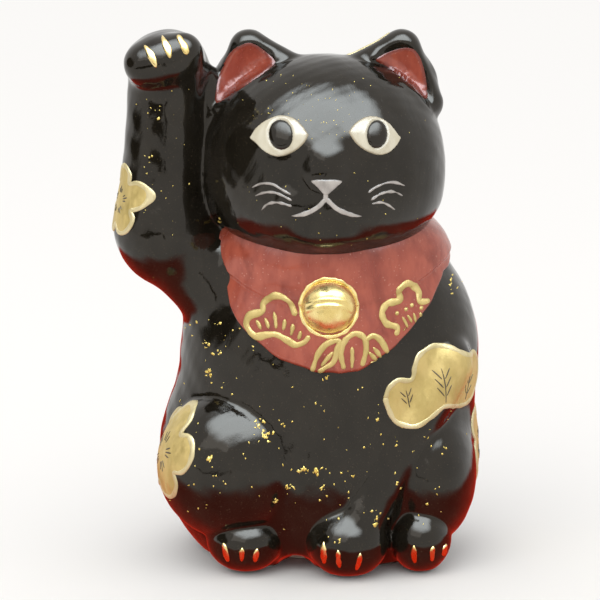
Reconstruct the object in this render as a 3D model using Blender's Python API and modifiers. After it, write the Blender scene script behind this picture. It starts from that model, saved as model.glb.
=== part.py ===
"""Beckoning cat figurine: hollow glazed porcelain, 120 mm tall, the right forepaw raised beside the head.

The cat faces -Y and sits on Z = 0. Its own right side is towards -X. The soft forms are lumps of clay, balls and
limbs, that melt into each other. Each casting is the share of the clay that lies nearest to its own lumps. Raised
enamel and gold are thin pads and strokes laid on the clay. Lengths in the tables are in millimetres.
"""

import math

import bmesh
import bpy
import numpy as np
from mathutils import Euler, Matrix, Vector
from mathutils.bvhtree import BVHTree
from mathutils.geometry import delaunay_2d_cdt

MM = 0.001
FACE_X = 5.5            # the head sits a little to the cat's left of the middle
SEAM = 1.1              # clearance between neighbouring castings
WALL = 3.2              # thickness of the slip-cast shell
ARM_WALL = 4.8          # the raised arm drains less slip, so its wall is thicker
FLOOR = 3.4             # thickness of the foot of the shell
VENT_RADIUS = 1.5       # firing vent in the base disc
DISC_CENTRE = (5.0, 4.0)
DISC_RADII = (18.6, 12.6)
DISC_CLEARANCE = 0.35
CENTRE_SHIFT = (0.47, -2.06, 0.0)   # brings the middle of the overall box over the origin
LIFT = 0.35             # clearance under a pad of enamel
ENAMEL = 0.5            # thickness of a pad of enamel
BIB_THICKNESS = 1.0
BIB_AXIS = (6.0, 0.0)   # the bib and collar wrap around this upright axis
BELL_CENTRE = (6.3, 61.1)
BELL_RADIUS = 6.3


# ---------------------------------------------------------------- clay: distance to balls, limbs and their blends

def ball(centre, radii, tilt=(0, 0, 0)):
    """An ellipsoid lump. tilt is in degrees about X, Y and Z."""
    turn = np.array(Euler([math.radians(angle) for angle in tilt]).to_matrix())
    middle = np.array(centre, float)
    radii = np.array(radii, float)

    def depth(points):
        local = (points - middle) @ turn
        near = np.linalg.norm(local / radii, axis=1)
        slope = np.linalg.norm(local / radii**2, axis=1)
        return near * (near - 1) / np.maximum(slope, 1e-9)

    depth.shells = [(middle, radii, turn)]
    return depth


def limb(start, end, start_radius, end_radius):
    """A round bar whose radius eases from one end to the other."""
    start = np.array(start, float)
    along = np.array(end, float) - start

    def radius_at(share):
        return start_radius + (end_radius - start_radius) * share * share * (3 - 2 * share)

    def depth(points):
        share = np.clip((points - start) @ along / (along @ along), 0, 1)
        return np.linalg.norm(points - start - share[:, None] * along, axis=1) - radius_at(share)

    depth.shells = [
        (start + along * share, np.full(3, radius_at(share)), np.eye(3)) for share in np.linspace(0, 1, 7)
    ]
    return depth


def joined(first, second, soft):
    """Union of two depths with a fillet of about this size."""
    meeting = np.maximum(soft - np.abs(first - second), 0) / soft
    return np.minimum(first, second) - meeting**3 * soft / 6


def carved(first, second, soft):
    """The first depth with the second taken out of it, the rim rounded."""
    return -joined(-first, second, soft)


def blended(lumps, points):
    """All the lumps melted together in order. A negative softness carves."""
    total = None
    for lump, soft in lumps:
        depth = lump(points)
        if total is None:
            total = depth
        elif soft > 0:
            total = joined(total, depth, soft)
        else:
            total = carved(total, depth, -soft)
    return total


# ---------------------------------------------------------------- the lumps of each casting

HEAD = [
    (ball((FACE_X, -3.5, 92.0), (26.3, 23.5, 22.0)), 1),             # skull
    (ball((FACE_X, -5.0, 84.0), (25.4, 22.0, 15.5)), 8),             # cheeks
    (ball((FACE_X, -20.5, 83.5), (13.0, 7.5, 8.5)), 7),              # muzzle
    (limb((FACE_X, -19.0, 103.0), (FACE_X, -25.4, 94.0), 5.5, 3.6), 7),   # bridge of the nose
    (ball((FACE_X, -27.3, 91.4), (3.9, 2.5, 2.8)), 2.5),             # nose
    (ball((FACE_X - 5.0, -25.4, 84.6), (5.2, 2.9, 3.8)), 3),         # pads of the lip
    (ball((FACE_X + 5.0, -25.4, 84.6), (5.2, 2.9, 3.8)), 3),
    (ball((FACE_X, -24.2, 78.5), (6.0, 3.0, 3.0)), 4),               # chin
]

ARM = [
    (limb((-30.4, -3.0, 76.0), (-29.4, -3.5, 105.0), 10.0, 8.7), 1),      # forearm
    (ball((-29.0, -4.5, 111.4), (9.0, 9.0, 8.2)), 3),                # paw
    (limb((-33.8, -11.2, 112.6), (-25.6, -11.2, 115.4), 4.3, 4.3), 1.6),  # curled fingers
    (ball((-30.2, -3.0, 75.0), (10.5, 11.5, 11.0)), 6),              # elbow
    (limb((-28.0, -2.0, 71.0), (-14.0, 0.0, 60.0), 9.5, 12.0), 6),   # upper arm
]

TORSO = [
    (ball((6.7, 2.0, 46.0), (33.6, 25.5, 34.0)), 1),                 # chest and shoulders
    (ball((4.3, 4.0, 22.5), (36.3, 27.5, 33.0)), 8),                 # lower body
    (ball((6.0, 0.0, 70.0), (25.5, 20.0, 12.0)), 6),                 # neck
    (ball((-15.0, -11.5, 23.0), (16.8, 15.5, 17.0)), 1.6),           # right thigh
    (ball((-12.0, -14.5, 6.8), (8.9, 10.5, 7.2)), 1.6),              # right hind paw
    (ball((28.5, -4.5, 20.0), (11.3, 17.0, 17.0)), 2.5),             # left thigh
    (ball((26.8, -14.5, 7.2), (7.0, 9.5, 7.8)), 2.0),                # left hind paw
    (limb((31.0, -10.0, 46.0), (13.5, -20.0, 12.0), 7.3, 5.6), 2),   # left foreleg
    (ball((10.6, -19.0, 7.4), (9.2, 9.5, 7.8)), 2.0),                # left forepaw
    (ball((-1.0, -21.0, -1.0), (5.0, 14.0, 4.5)), -3.0),             # arch between the paws
]

TAIL = [
    (limb((17.5, 24.0, 9.5), (11.0, 27.2, 8.5), 5.2, 5.0), 1),
    (limb((11.0, 27.2, 8.5), (2.0, 29.6, 9.0), 5.0, 4.7), 3),
    (limb((2.0, 29.6, 9.0), (-6.5, 28.4, 13.5), 4.7, 4.0), 3),
]


def ear(side):
    """side is -1 for the cat's right ear and 1 for its left."""
    def out(offset):
        return FACE_X + side * offset

    return [
        (limb((out(5.0), -2.0, 108.5), (out(16.6), -1.5, 115.0), 4.2, 4.0), 1),      # inner rim
        (limb((out(22.0), -2.0, 103.0), (out(17.0), -1.5, 114.8), 4.2, 4.2), 2.0),   # outer rim
        (ball((out(15.0), 0.0, 106.5), (10.0, 4.4, 9.5)), 2.0),                      # back of the ear
        (ball((out(17.0), -8.8, 109.0), (8.2, 6.3, 9.6), (0, side * -30, 0)), -1.2),  # hollow
    ]


CASTINGS = {
    "torso_casting": TORSO,
    "head_casting": HEAD,
    "raised_arm_casting": ARM,
    "right_ear_casting": ear(-1),
    "left_ear_casting": ear(1),
    "tail_casting": TAIL,
}
MELT = {  # softness of the fillet where each casting meets those before it
    "head_casting": 2.6,
    "raised_arm_casting": 4.5,
    "right_ear_casting": 1.6,
    "left_ear_casting": 1.6,
    "tail_casting": 1.5,
}
TRIANGLES = {
    "torso_casting": 2600,
    "head_casting": 1500,
    "raised_arm_casting": 900,
    "right_ear_casting": 320,
    "left_ear_casting": 320,
    "tail_casting": 260,
}


def depths_of_castings(points):
    return {name: blended(lumps, points) for name, lumps in CASTINGS.items()}


def melted(depths):
    total = depths["torso_casting"]
    for name, soft in MELT.items():
        total = joined(total, depths[name], soft)
    return total


def skin(points):
    """Depth below the surface of the whole cat: positive outside."""
    return melted(depths_of_castings(points))


def share_of(wanted):
    """The clay nearest to one casting's lumps, above the foot, less half the seam."""
    def field(points):
        depths = depths_of_castings(points)
        others = np.min([depth for name, depth in depths.items() if name != wanted], axis=0)
        total = carved(melted(depths), points[:, 2], 1.0)
        return np.maximum(total, depths[wanted] - others + SEAM)

    return field


def cavity(points):
    """The hollow that the slip leaves, down to the floor."""
    depths = depths_of_castings(points)
    body = joined(depths["torso_casting"], depths["head_casting"], 5.0) + WALL
    hollow = joined(body, depths["raised_arm_casting"] + ARM_WALL, 2.0)
    return np.maximum(hollow, FLOOR - points[:, 2])


def steepest(field, points, step=0.03):
    slope = np.empty_like(points)
    for axis in range(3):
        ahead = points.copy()
        ahead[:, axis] += step
        behind = points.copy()
        behind[:, axis] -= step
        slope[:, axis] = (field(ahead) - field(behind)) / (2 * step)
    return slope


def settled(field, points, passes):
    """Points eased onto the surface where the field is zero."""
    for _ in range(passes):
        slope = steepest(field, points)
        move = field(points) / np.maximum((slope * slope).sum(axis=1), 0.05)
        points = points - slope * np.clip(move, -1.5, 1.5)[:, None]
    return points


# ---------------------------------------------------------------- meshes

def points_of(mesh):
    flat = np.empty(len(mesh.vertices) * 3)
    mesh.vertices.foreach_get("co", flat)
    return flat.reshape(-1, 3)


def place_points(mesh, points):
    mesh.vertices.foreach_set("co", points.astype(np.float32).ravel())
    mesh.update()


def with_modifier(mesh, kind, **settings):
    """The mesh after one modifier."""
    holder = bpy.data.objects.new("holder", mesh)
    bpy.context.scene.collection.objects.link(holder)
    modifier = holder.modifiers.new(kind, kind)
    for name, value in settings.items():
        setattr(modifier, name, value)
    bpy.context.view_layer.update()
    graph = bpy.context.evaluated_depsgraph_get()
    result = bpy.data.meshes.new_from_object(holder.evaluated_get(graph))
    bpy.data.objects.remove(holder)
    return result


def rough_mesh(lumps):
    """Spheres standing where the lumps are, in millimetres."""
    bm = bmesh.new()
    for lump, soft in lumps:
        if soft < 0:
            continue
        for middle, radii, turn in lump.shells:
            place = Matrix.Translation(Vector(middle)) @ Matrix(turn.tolist()).to_4x4()
            place = place @ Matrix.Diagonal((*radii, 1))
            bmesh.ops.create_uvsphere(bm, u_segments=20, v_segments=12, radius=1, matrix=place)
    mesh = bpy.data.meshes.new("rough")
    bm.to_mesh(mesh)
    bm.free()
    return mesh


def modelled(lumps, field, triangles, voxel=1.5):
    """The lumps as one closed skin on the field, thinned to about this many triangles, in metres."""
    mesh = with_modifier(rough_mesh(lumps), "REMESH", mode="VOXEL", voxel_size=voxel)
    place_points(mesh, settled(field, points_of(mesh), 9))
    mesh = with_modifier(mesh, "REMESH", mode="VOXEL", voxel_size=voxel * 0.8)
    place_points(mesh, settled(field, points_of(mesh), 4))
    mesh.calc_loop_triangles()
    share = min(1.0, triangles / len(mesh.loop_triangles))
    place_points(mesh, points_of(mesh) * MM)
    return with_modifier(mesh, "DECIMATE", ratio=share, use_collapse_triangulate=True)


# ---------------------------------------------------------------- scene, collections and materials

for leftover in list(bpy.data.objects):
    bpy.data.objects.remove(leftover)

figurine = bpy.data.collections.new("beckoning_cat_figurine")
cutters = bpy.data.collections.new("cutters")
cutters.hide_render = True
bpy.context.scene.collection.children.link(figurine)
bpy.context.scene.collection.children.link(cutters)


def finish(colour, roughness, metallic=0.0):
    return {"Base Color": (*colour, 1), "Roughness": roughness, "Metallic": metallic}


BLACK_GLAZE = finish((0.012, 0.010, 0.009), 0.08)
RED_GLAZE = finish((0.36, 0.055, 0.035), 0.30)
CREAM_ENAMEL = finish((0.80, 0.74, 0.58), 0.18)
PALE_ENAMEL = finish((0.62, 0.60, 0.56), 0.30)
GOLD = finish((0.72, 0.53, 0.20), 0.32, 1.0)
BARE_CLAY = finish((0.72, 0.66, 0.56), 0.85)


def add_piece(name, mesh, look, smooth=True):
    material = bpy.data.materials.new(name)
    material.use_nodes = True
    shader = material.node_tree.nodes["Principled BSDF"]
    for socket, value in look.items():
        shader.inputs[socket].default_value = value
    mesh.materials.clear()
    mesh.materials.append(material)
    if smooth:
        mesh.shade_smooth()
    piece = bpy.data.objects.new(name, mesh)
    figurine.objects.link(piece)
    return piece


def add_cutter(name, mesh):
    cutter = bpy.data.objects.new(name, mesh)
    cutter.hide_render = True
    cutter.display_type = "WIRE"
    cutters.objects.link(cutter)
    return cutter


def cut(piece, cutter):
    modifier = piece.modifiers.new("cut_" + cutter.name, "BOOLEAN")
    modifier.operation = "DIFFERENCE"
    modifier.solver = "EXACT"
    modifier.use_self = True
    modifier.object = cutter


def oval_block(radii, low, high):
    """An upright oval bar around the middle of the base."""
    bm = bmesh.new()
    place = Matrix.Translation((DISC_CENTRE[0] * MM, DISC_CENTRE[1] * MM, (low + high) / 2 * MM))
    place = place @ Matrix.Diagonal((radii[0] * MM, radii[1] * MM, (high - low) * MM, 1))
    bmesh.ops.create_cone(bm, cap_ends=True, segments=40, radius1=1, radius2=1, depth=1, matrix=place)
    mesh = bpy.data.meshes.new("oval")
    bm.to_mesh(mesh)
    bm.free()
    return mesh


# ---------------------------------------------------------------- castings

skin_meshes = []
pieces = {}
for name, lumps in CASTINGS.items():
    mesh = modelled(lumps, share_of(name), TRIANGLES[name])
    points = points_of(mesh)
    points[:, 2] = np.where(points[:, 2] < 0.25 * MM, 0, points[:, 2])
    place_points(mesh, points)
    skin_meshes.append(mesh.copy())
    pieces[name] = add_piece(name, mesh, BLACK_GLAZE)

hollow = add_cutter("hollow", modelled(TORSO[:3] + HEAD[:2] + ARM, cavity, 1500))
foot_opening = add_cutter(
    "foot_opening", oval_block([radius + DISC_CLEARANCE for radius in DISC_RADII], -2, FLOOR + 3)
)
vent = add_cutter("vent", oval_block((VENT_RADIUS, VENT_RADIUS), -2, FLOOR + 3))
for name in ("torso_casting", "head_casting", "raised_arm_casting"):
    cut(pieces[name], hollow)
cut(pieces["torso_casting"], foot_opening)

base_disc = add_piece("base_disc", oval_block(DISC_RADII, 0.3, FLOOR - 0.4), BARE_CLAY, smooth=False)
cut(base_disc, vent)


# ---------------------------------------------------------------- laying enamel on the skin

def skin_tree():
    points = []
    faces = []
    for mesh in skin_meshes:
        mesh.calc_loop_triangles()
        first = sum(len(batch) for batch in points)
        points.append(points_of(mesh) / MM)
        faces += [[first + corner for corner in triangle.vertices] for triangle in mesh.loop_triangles]
    return BVHTree.FromPolygons(np.concatenate(points).tolist(), faces)


TREE = skin_tree()
FRONT = ((1, 0, 0), (0, 0, 1))          # seen from the front: across, up


def from_side(angle):
    """A view turned by this many degrees about the upright axis: negative looks at the cat's right side."""
    turn = math.radians(angle)
    return ((math.cos(turn), math.sin(turn), 0), (0, 0, 1))


def on_skin(flat, view):
    """Places (across, up) dropped onto the skin along the view, with the outward normals."""
    across = Vector(view[0])
    up = Vector(view[1])
    inward = up.cross(across)
    hits = []
    for a, b in flat:
        start = across * a + up * b - inward * 120
        place = TREE.ray_cast(start, inward)[0]
        if place is None:
            place = TREE.find_nearest(across * a + up * b - inward * 30)[0]
        hits.append(place)
    hits = np.array([tuple(hit) for hit in hits])
    slope = steepest(skin, hits, 0.6)
    return hits, slope / np.linalg.norm(slope, axis=1)[:, None]


def closed_mesh(top, bottom, faces, rim):
    """A top and a bottom with the same layout, walled along the rim. rim lists edges in order around the top."""
    count = len(top)
    mesh = bpy.data.meshes.new("pad")
    walls = [(b, a, a + count, b + count) for a, b in rim]
    under = [tuple(corner + count for corner in reversed(face)) for face in faces]
    mesh.from_pydata((np.concatenate([top, bottom]) * MM).tolist(), [], list(faces) + under + walls)
    mesh.validate()
    bm = bmesh.new()
    bm.from_mesh(mesh)
    bmesh.ops.recalc_face_normals(bm, faces=bm.faces)
    bm.to_mesh(mesh)
    bm.free()
    return mesh


def pad(name, outline, look, view=FRONT, lift=LIFT, thickness=ENAMEL, grain=2.6, dome=0.0):
    """A pad of enamel with this outline. dome adds height in the middle."""
    corners = [Vector(corner) for corner in outline]
    edges = [(index, (index + 1) % len(corners)) for index in range(len(corners))]
    box = np.array(outline)
    inner = []
    for a in np.arange(box[:, 0].min() + grain / 2, box[:, 0].max(), grain):
        for b in np.arange(box[:, 1].min() + grain / 2, box[:, 1].max(), grain):
            inner.append(Vector((a, b)))
    clear = [place for place in inner if distance_to(outline, place) > grain * 0.4]
    flat, _, faces, _, _, _ = delaunay_2d_cdt(corners + clear, edges, [], 1, 1e-4)
    flat = np.array([tuple(place) for place in flat])
    hits, out = on_skin(flat, view)
    rim_distance = np.array([distance_to(outline, place) for place in flat])
    rise = dome * np.sqrt(np.clip(rim_distance / rim_distance.max(), 0, 1))
    top = hits + out * (lift + thickness + rise)[:, None]
    bottom = hits + out * lift
    return add_piece(name, closed_mesh(top, bottom, faces, border(faces)), look)


def distance_to(outline, place):
    """Distance from a place to a closed outline."""
    corners = np.array(outline, float)
    along = np.roll(corners, -1, axis=0) - corners
    offset = np.array(place, float) - corners
    share = np.clip((offset * along).sum(axis=1) / (along * along).sum(axis=1), 0, 1)
    return np.linalg.norm(offset - along * share[:, None], axis=1).min()


def border(faces):
    """The edges that belong to one face only, each in that face's direction."""
    used = {(face[i], face[(i + 1) % len(face)]) for face in faces for i in range(len(face))}
    return [edge for edge in used if (edge[1], edge[0]) not in used]


def stroke(name, line, width, look, view=FRONT, lift=LIFT, thickness=ENAMEL, taper=0.45):
    """A raised brush stroke along a line, narrower at its ends."""
    line = np.array(line, float)
    along = np.gradient(line, axis=0)
    along /= np.linalg.norm(along, axis=1)[:, None]
    side = np.stack([-along[:, 1], along[:, 0]], axis=1)
    place = np.linspace(-1, 1, len(line))
    half = width / 2 * (1 - taper * place**2)
    flat = np.concatenate([line - side * half[:, None], line, line + side * half[:, None]])
    hits, out = on_skin(flat, view)
    count = len(line)
    height = np.repeat([thickness * 0.6, thickness, thickness * 0.6], count)
    top = hits + out * (lift + height)[:, None]
    bottom = hits + out * lift
    faces = []
    for index in range(count - 1):
        for row in (0, count):
            near = row + index
            faces.append((near, near + 1, near + 1 + count, near + count))
    return add_piece(name, closed_mesh(top, bottom, faces, border(faces)), look)


# ---------------------------------------------------------------- face

RIGHT_EYE = [
    (-10.8, 98.1), (-9.3, 100.7), (-6.9, 102.3), (-4.1, 103.3), (-1.3, 102.9), (0.6, 101.4), (1.7, 99.7),
    (0.9, 98.0), (-1.1, 96.2), (-3.6, 95.0), (-5.8, 94.9), (-8.0, 95.9), (-9.5, 97.2),
]
LEFT_EYE = [
    (10.5, 100.2), (11.8, 101.9), (14.0, 103.0), (16.1, 103.0), (19.0, 101.6), (20.5, 99.9), (21.6, 98.2),
    (20.7, 96.6), (18.9, 95.3), (16.7, 95.1), (14.2, 96.1), (12.0, 97.8),
]
NOSE = [(2.4, 90.1), (5.5, 90.5), (9.0, 90.0), (7.5, 88.6), (5.8, 87.1), (5.1, 87.3), (3.8, 88.7)]
RIGHT_EAR_HOLLOW = [
    (-11.2, 115.9), (-8.6, 114.9), (-6.8, 113.3), (-7.9, 111.7), (-10.6, 110.1), (-13.4, 108.0), (-16.0, 105.9),
    (-17.4, 105.4), (-16.9, 108.0), (-15.8, 111.0), (-14.0, 113.9),
]
LEFT_EAR_HOLLOW = [
    (22.4, 115.0), (19.6, 113.9), (17.9, 112.9), (19.2, 111.8), (21.8, 110.3), (24.3, 108.3), (26.3, 106.4),
    (27.2, 106.2), (26.8, 108.4), (25.8, 111.4), (24.4, 113.8),
]


def oval(middle, radii, lean=0.0, count=12):
    """An oval outline, leaning by this many degrees."""
    turn = math.radians(lean)
    outline = []
    for index in range(count):
        angle = 2 * math.pi * index / count
        a = radii[0] * math.cos(angle)
        b = radii[1] * math.sin(angle)
        across = middle[0] + a * math.cos(turn) - b * math.sin(turn)
        outline.append((across, middle[1] + a * math.sin(turn) + b * math.cos(turn)))
    return outline


pad("right_eye_white", RIGHT_EYE, CREAM_ENAMEL)
pad("left_eye_white", LEFT_EYE, CREAM_ENAMEL)
PUPIL_LIFT = LIFT + ENAMEL + 0.3
pad("right_pupil", oval((-4.2, 99.3), (2.75, 3.0)), BLACK_GLAZE, lift=PUPIL_LIFT, thickness=0.3, grain=1.8, dome=0.5)
pad("left_pupil", oval((16.3, 99.3), (2.4, 2.9)), BLACK_GLAZE, lift=PUPIL_LIFT, thickness=0.3, grain=1.8, dome=0.5)
pad("nose_patch", NOSE, PALE_ENAMEL, grain=2.0)
pad("right_ear_enamel", RIGHT_EAR_HOLLOW, RED_GLAZE)
pad("left_ear_enamel", LEFT_EAR_HOLLOW, RED_GLAZE)

MOUTH = {
    "mouth_right_line": [(4.9, 86.0), (4.4, 85.0), (3.2, 84.0), (1.9, 83.3), (0.0, 82.7), (-1.7, 82.4)],
    "mouth_left_line": [(6.1, 86.0), (6.8, 85.0), (8.1, 84.0), (9.9, 83.2), (11.6, 82.6), (13.1, 82.3)],
}
WHISKERS = {
    "right_whisker_1": [(-10.1, 87.9), (-8.0, 89.0), (-5.8, 88.8), (-4.3, 88.1), (-2.1, 87.1)],
    "right_whisker_2": [(-9.5, 86.2), (-7.7, 87.1), (-5.8, 87.2), (-4.1, 86.8), (-1.9, 85.8)],
    "right_whisker_3": [(-8.2, 83.1), (-7.3, 84.3), (-5.8, 85.0), (-4.1, 85.1), (-1.9, 84.5)],
    "left_whisker_1": [(14.8, 87.5), (16.2, 88.2), (18.5, 88.9), (20.5, 88.9), (22.4, 87.8)],
    "left_whisker_2": [(15.4, 85.8), (17.0, 86.6), (18.9, 87.1), (20.5, 86.8), (21.8, 85.7)],
    "left_whisker_3": [(15.7, 84.9), (17.4, 84.9), (18.9, 84.0), (20.3, 82.9)],
}
for name, line in MOUTH.items():
    stroke(name, line, 1.0, PALE_ENAMEL)
for name, line in WHISKERS.items():
    stroke(name, line, 0.8, PALE_ENAMEL, thickness=0.4)


# ---------------------------------------------------------------- gold on the clay

CLAWS = {
    "right_forepaw_claw_1": [(-33.6, 117.0), (-32.6, 116.0), (-31.9, 114.7), (-31.1, 113.0)],
    "right_forepaw_claw_2": [(-29.2, 118.3), (-28.6, 117.5), (-28.1, 116.5), (-27.7, 115.0)],
    "right_forepaw_claw_3": [(-25.6, 119.0), (-25.1, 118.4), (-24.6, 117.4), (-24.0, 115.8)],
    "right_hind_claw_1": [(-16.9, 8.1), (-16.5, 6.6), (-16.2, 5.2), (-15.9, 3.9)],
    "right_hind_claw_2": [(-12.8, 7.5), (-12.8, 6.4), (-12.8, 5.3), (-12.8, 4.3)],
    "right_hind_claw_3": [(-9.5, 7.2), (-9.6, 6.1), (-9.8, 5.0), (-9.9, 4.0)],
    "left_forepaw_claw_1": [(5.3, 9.1), (5.2, 7.5), (5.2, 5.9), (5.3, 4.3)],
    "left_forepaw_claw_2": [(8.3, 7.8), (8.4, 6.4), (8.5, 5.1), (8.7, 3.8)],
    "left_forepaw_claw_3": [(13.1, 7.1), (13.0, 5.8), (12.8, 4.5), (12.5, 3.1)],
    "left_hind_claw_1": [(25.1, 7.6), (25.1, 6.2), (25.3, 4.7), (25.4, 3.4)],
    "left_hind_claw_2": [(29.3, 7.3), (29.2, 6.0), (29.2, 4.8), (29.2, 3.8)],
    "left_hind_claw_3": [(32.2, 6.9), (32.1, 6.0), (32.0, 5.1), (31.9, 4.4)],
}
for name, line in CLAWS.items():
    stroke(name, line, 1.3, GOLD, thickness=0.4)

SHOULDER_CLOUD = [  # seen from 40 degrees round to the cat's left
    (0.1, 40.2), (0.3, 42.0), (0.9, 43.4), (3.0, 45.0), (5.9, 44.7), (6.4, 47.4), (7.8, 49.9), (11.5, 51.6),
    (15.4, 51.2), (18.8, 49.4), (22.6, 48.2), (26.6, 47.6), (29.2, 45.0), (30.0, 41.4), (28.2, 37.6), (25.0, 35.6),
    (20.2, 35.6), (14.5, 37.1), (12.6, 36.9), (9.6, 34.9), (7.0, 33.5), (4.6, 33.6), (2.3, 35.0), (0.8, 37.9),
]
EAR_BACK = [(-20.4, 116.6), (-17.0, 115.2), (-13.6, 112.8), (-12.4, 110.6), (-14.6, 109.4), (-18.4, 111.0), (-20.8, 113.6)]


def blossom(middle, notch, petal, lean):
    """Five petals: the outline reaches notch between petals and notch + petal at their tips."""
    outline = []
    for index in range(20):
        angle = math.radians(lean) + 2 * math.pi * index / 20
        reach = notch + petal * abs(math.sin(2.5 * (angle - math.radians(lean)))) ** 0.6
        outline.append((middle[0] + reach * math.cos(angle), middle[1] + reach * math.sin(angle)))
    return outline


pad("left_shoulder_gold_cloud", SHOULDER_CLOUD, GOLD, view=from_side(40), lift=0.45, thickness=0.4)
pad("left_ear_back_gold", EAR_BACK, GOLD, view=from_side(180), lift=0.7, thickness=0.4, grain=1.6)
pad("right_arm_gold_blossom", blossom((-3.6, 82.0), 5.6, 2.6, -18), GOLD, view=from_side(-75), thickness=0.4)
pad("right_haunch_gold_blossom", blossom((-1.5, 27.2), 7.6, 3.2, -30), GOLD, view=from_side(-60), thickness=0.4)
pad("left_haunch_gold_blossom", blossom((3.0, 24.6), 6.8, 2.8, 20), GOLD, view=from_side(90), thickness=0.4)


# ---------------------------------------------------------------- bib, its gold lines and the bell

BIB_EDGE = [  # angle about the axis from the front, positive to the cat's left; lower edge; upper edge
    (-64, 68.0, 72.4), (-61, 63.0, 72.3), (-56, 60.0, 72.1), (-49, 56.6, 71.3), (-39, 53.2, 70.7), (-25, 49.4, 69.9),
    (-8, 47.1, 69.1), (6, 46.5, 68.9), (16, 47.1, 69.1), (25, 49.0, 69.5), (36, 52.3, 70.3), (48, 56.8, 71.5),
    (58, 60.5, 72.5), (66, 63.3, 73.0), (74, 66.0, 73.5), (86, 68.0, 73.9), (104, 68.4, 73.9), (125, 68.0, 73.5),
    (148, 67.6, 72.9), (172, 67.4, 72.7), (196, 67.4, 72.7), (218, 67.6, 72.9), (236, 68.0, 73.3),
]
BIB_COLUMNS = 52
BIB_ROWS = 6
BIB_LIFT = 0.75


def around_neck(angle, height):
    """The skin at this angle and height, met from outside."""
    turn = math.radians(angle)
    outward = Vector((math.sin(turn), -math.cos(turn), 0))
    axis = Vector((*BIB_AXIS, height))
    place = TREE.ray_cast(axis + outward * 34, -outward)[0]
    return place


def bib_mesh():
    table = np.array(BIB_EDGE, float)
    hits = []
    for angle in np.linspace(table[0, 0], table[-1, 0], BIB_COLUMNS):
        low = np.interp(angle, table[:, 0], table[:, 1])
        high = np.interp(angle, table[:, 0], table[:, 2])
        for height in np.linspace(low, high, BIB_ROWS):
            hits.append(tuple(around_neck(angle, height)))
    hits = np.array(hits)
    slope = steepest(skin, hits, 1.2)
    out = slope / np.linalg.norm(slope, axis=1)[:, None]
    faces = []
    for column in range(BIB_COLUMNS - 1):
        for row in range(BIB_ROWS - 1):
            near = column * BIB_ROWS + row
            faces.append((near, near + BIB_ROWS, near + BIB_ROWS + 1, near + 1))
    return closed_mesh(hits + out * (BIB_LIFT + BIB_THICKNESS), hits + out * BIB_LIFT, faces, border(faces))


add_piece("neck_bib", bib_mesh(), RED_GLAZE)
ON_BIB = BIB_LIFT + BIB_THICKNESS + 0.3

PINE_LINE = [
    (-0.9, 59.0), (-2.4, 62.1), (-5.2, 63.2), (-7.9, 61.4), (-8.3, 59.6), (-11.0, 58.4), (-11.7, 56.3), (-9.8, 54.2),
    (-7.3, 54.7), (-5.2, 54.9), (-2.8, 53.8), (-1.0, 52.9), (0.9, 53.5), (2.1, 55.0),
]
PLUM_LINE = [
    (28.6, 61.0), (26.3, 61.2), (25.9, 63.4), (23.6, 65.3), (21.7, 64.0), (21.7, 61.9), (19.0, 61.3), (17.9, 59.4),
    (18.9, 57.2), (21.2, 56.2), (21.0, 54.4),
]
LEAVES = {
    "bib_gold_leaf_1": [(3.1, 48.6), (4.4, 51.4), (6.2, 53.2), (8.2, 53.6), (7.9, 51.8), (7.0, 49.8), (5.4, 48.6)],
    "bib_gold_leaf_2": [(9.7, 48.4), (9.1, 51.2), (10.1, 53.6), (11.9, 54.9), (13.6, 53.9), (14.1, 51.6), (13.2, 49.0)],
    "bib_gold_leaf_3": [(15.0, 53.3), (16.2, 54.1), (17.6, 53.0), (18.8, 51.9), (17.9, 51.2), (16.4, 50.9), (15.2, 51.6)],
}
stroke("bib_gold_pine_line", PINE_LINE, 1.4, GOLD, lift=ON_BIB, thickness=0.35, taper=0.2)
stroke("bib_gold_plum_line", PLUM_LINE, 1.4, GOLD, lift=ON_BIB, thickness=0.35, taper=0.2)
for name, outline in LEAVES.items():
    pad(name, outline, GOLD, lift=ON_BIB, thickness=0.35)

pad(
    "bell", oval(BELL_CENTRE, (BELL_RADIUS, BELL_RADIUS), count=24), GOLD,
    lift=ON_BIB, thickness=0.8, grain=2.0, dome=4.4,
)


# ---------------------------------------------------------------- origin under the middle of the overall box

for thing in [*figurine.objects, *cutters.objects]:
    thing.data.transform(Matrix.Translation([offset * MM for offset in CENTRE_SHIFT]))
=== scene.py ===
# %% [markdown]
# # A beckoning cat in black-glazed porcelain
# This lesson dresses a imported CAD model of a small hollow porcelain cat. The CAD model fixes the size and
# the place of every part. Here each part gets the fine surface, the paint and the glaze of the real
# thing. The frame comes first, because every later piece is placed from it.

# %% Load the frame
import math

import bmesh
import bpy
import numpy as np
from mathutils import Euler, Matrix, Vector
from mathutils.bvhtree import BVHTree
from mathutils.geometry import delaunay_2d_cdt


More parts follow.
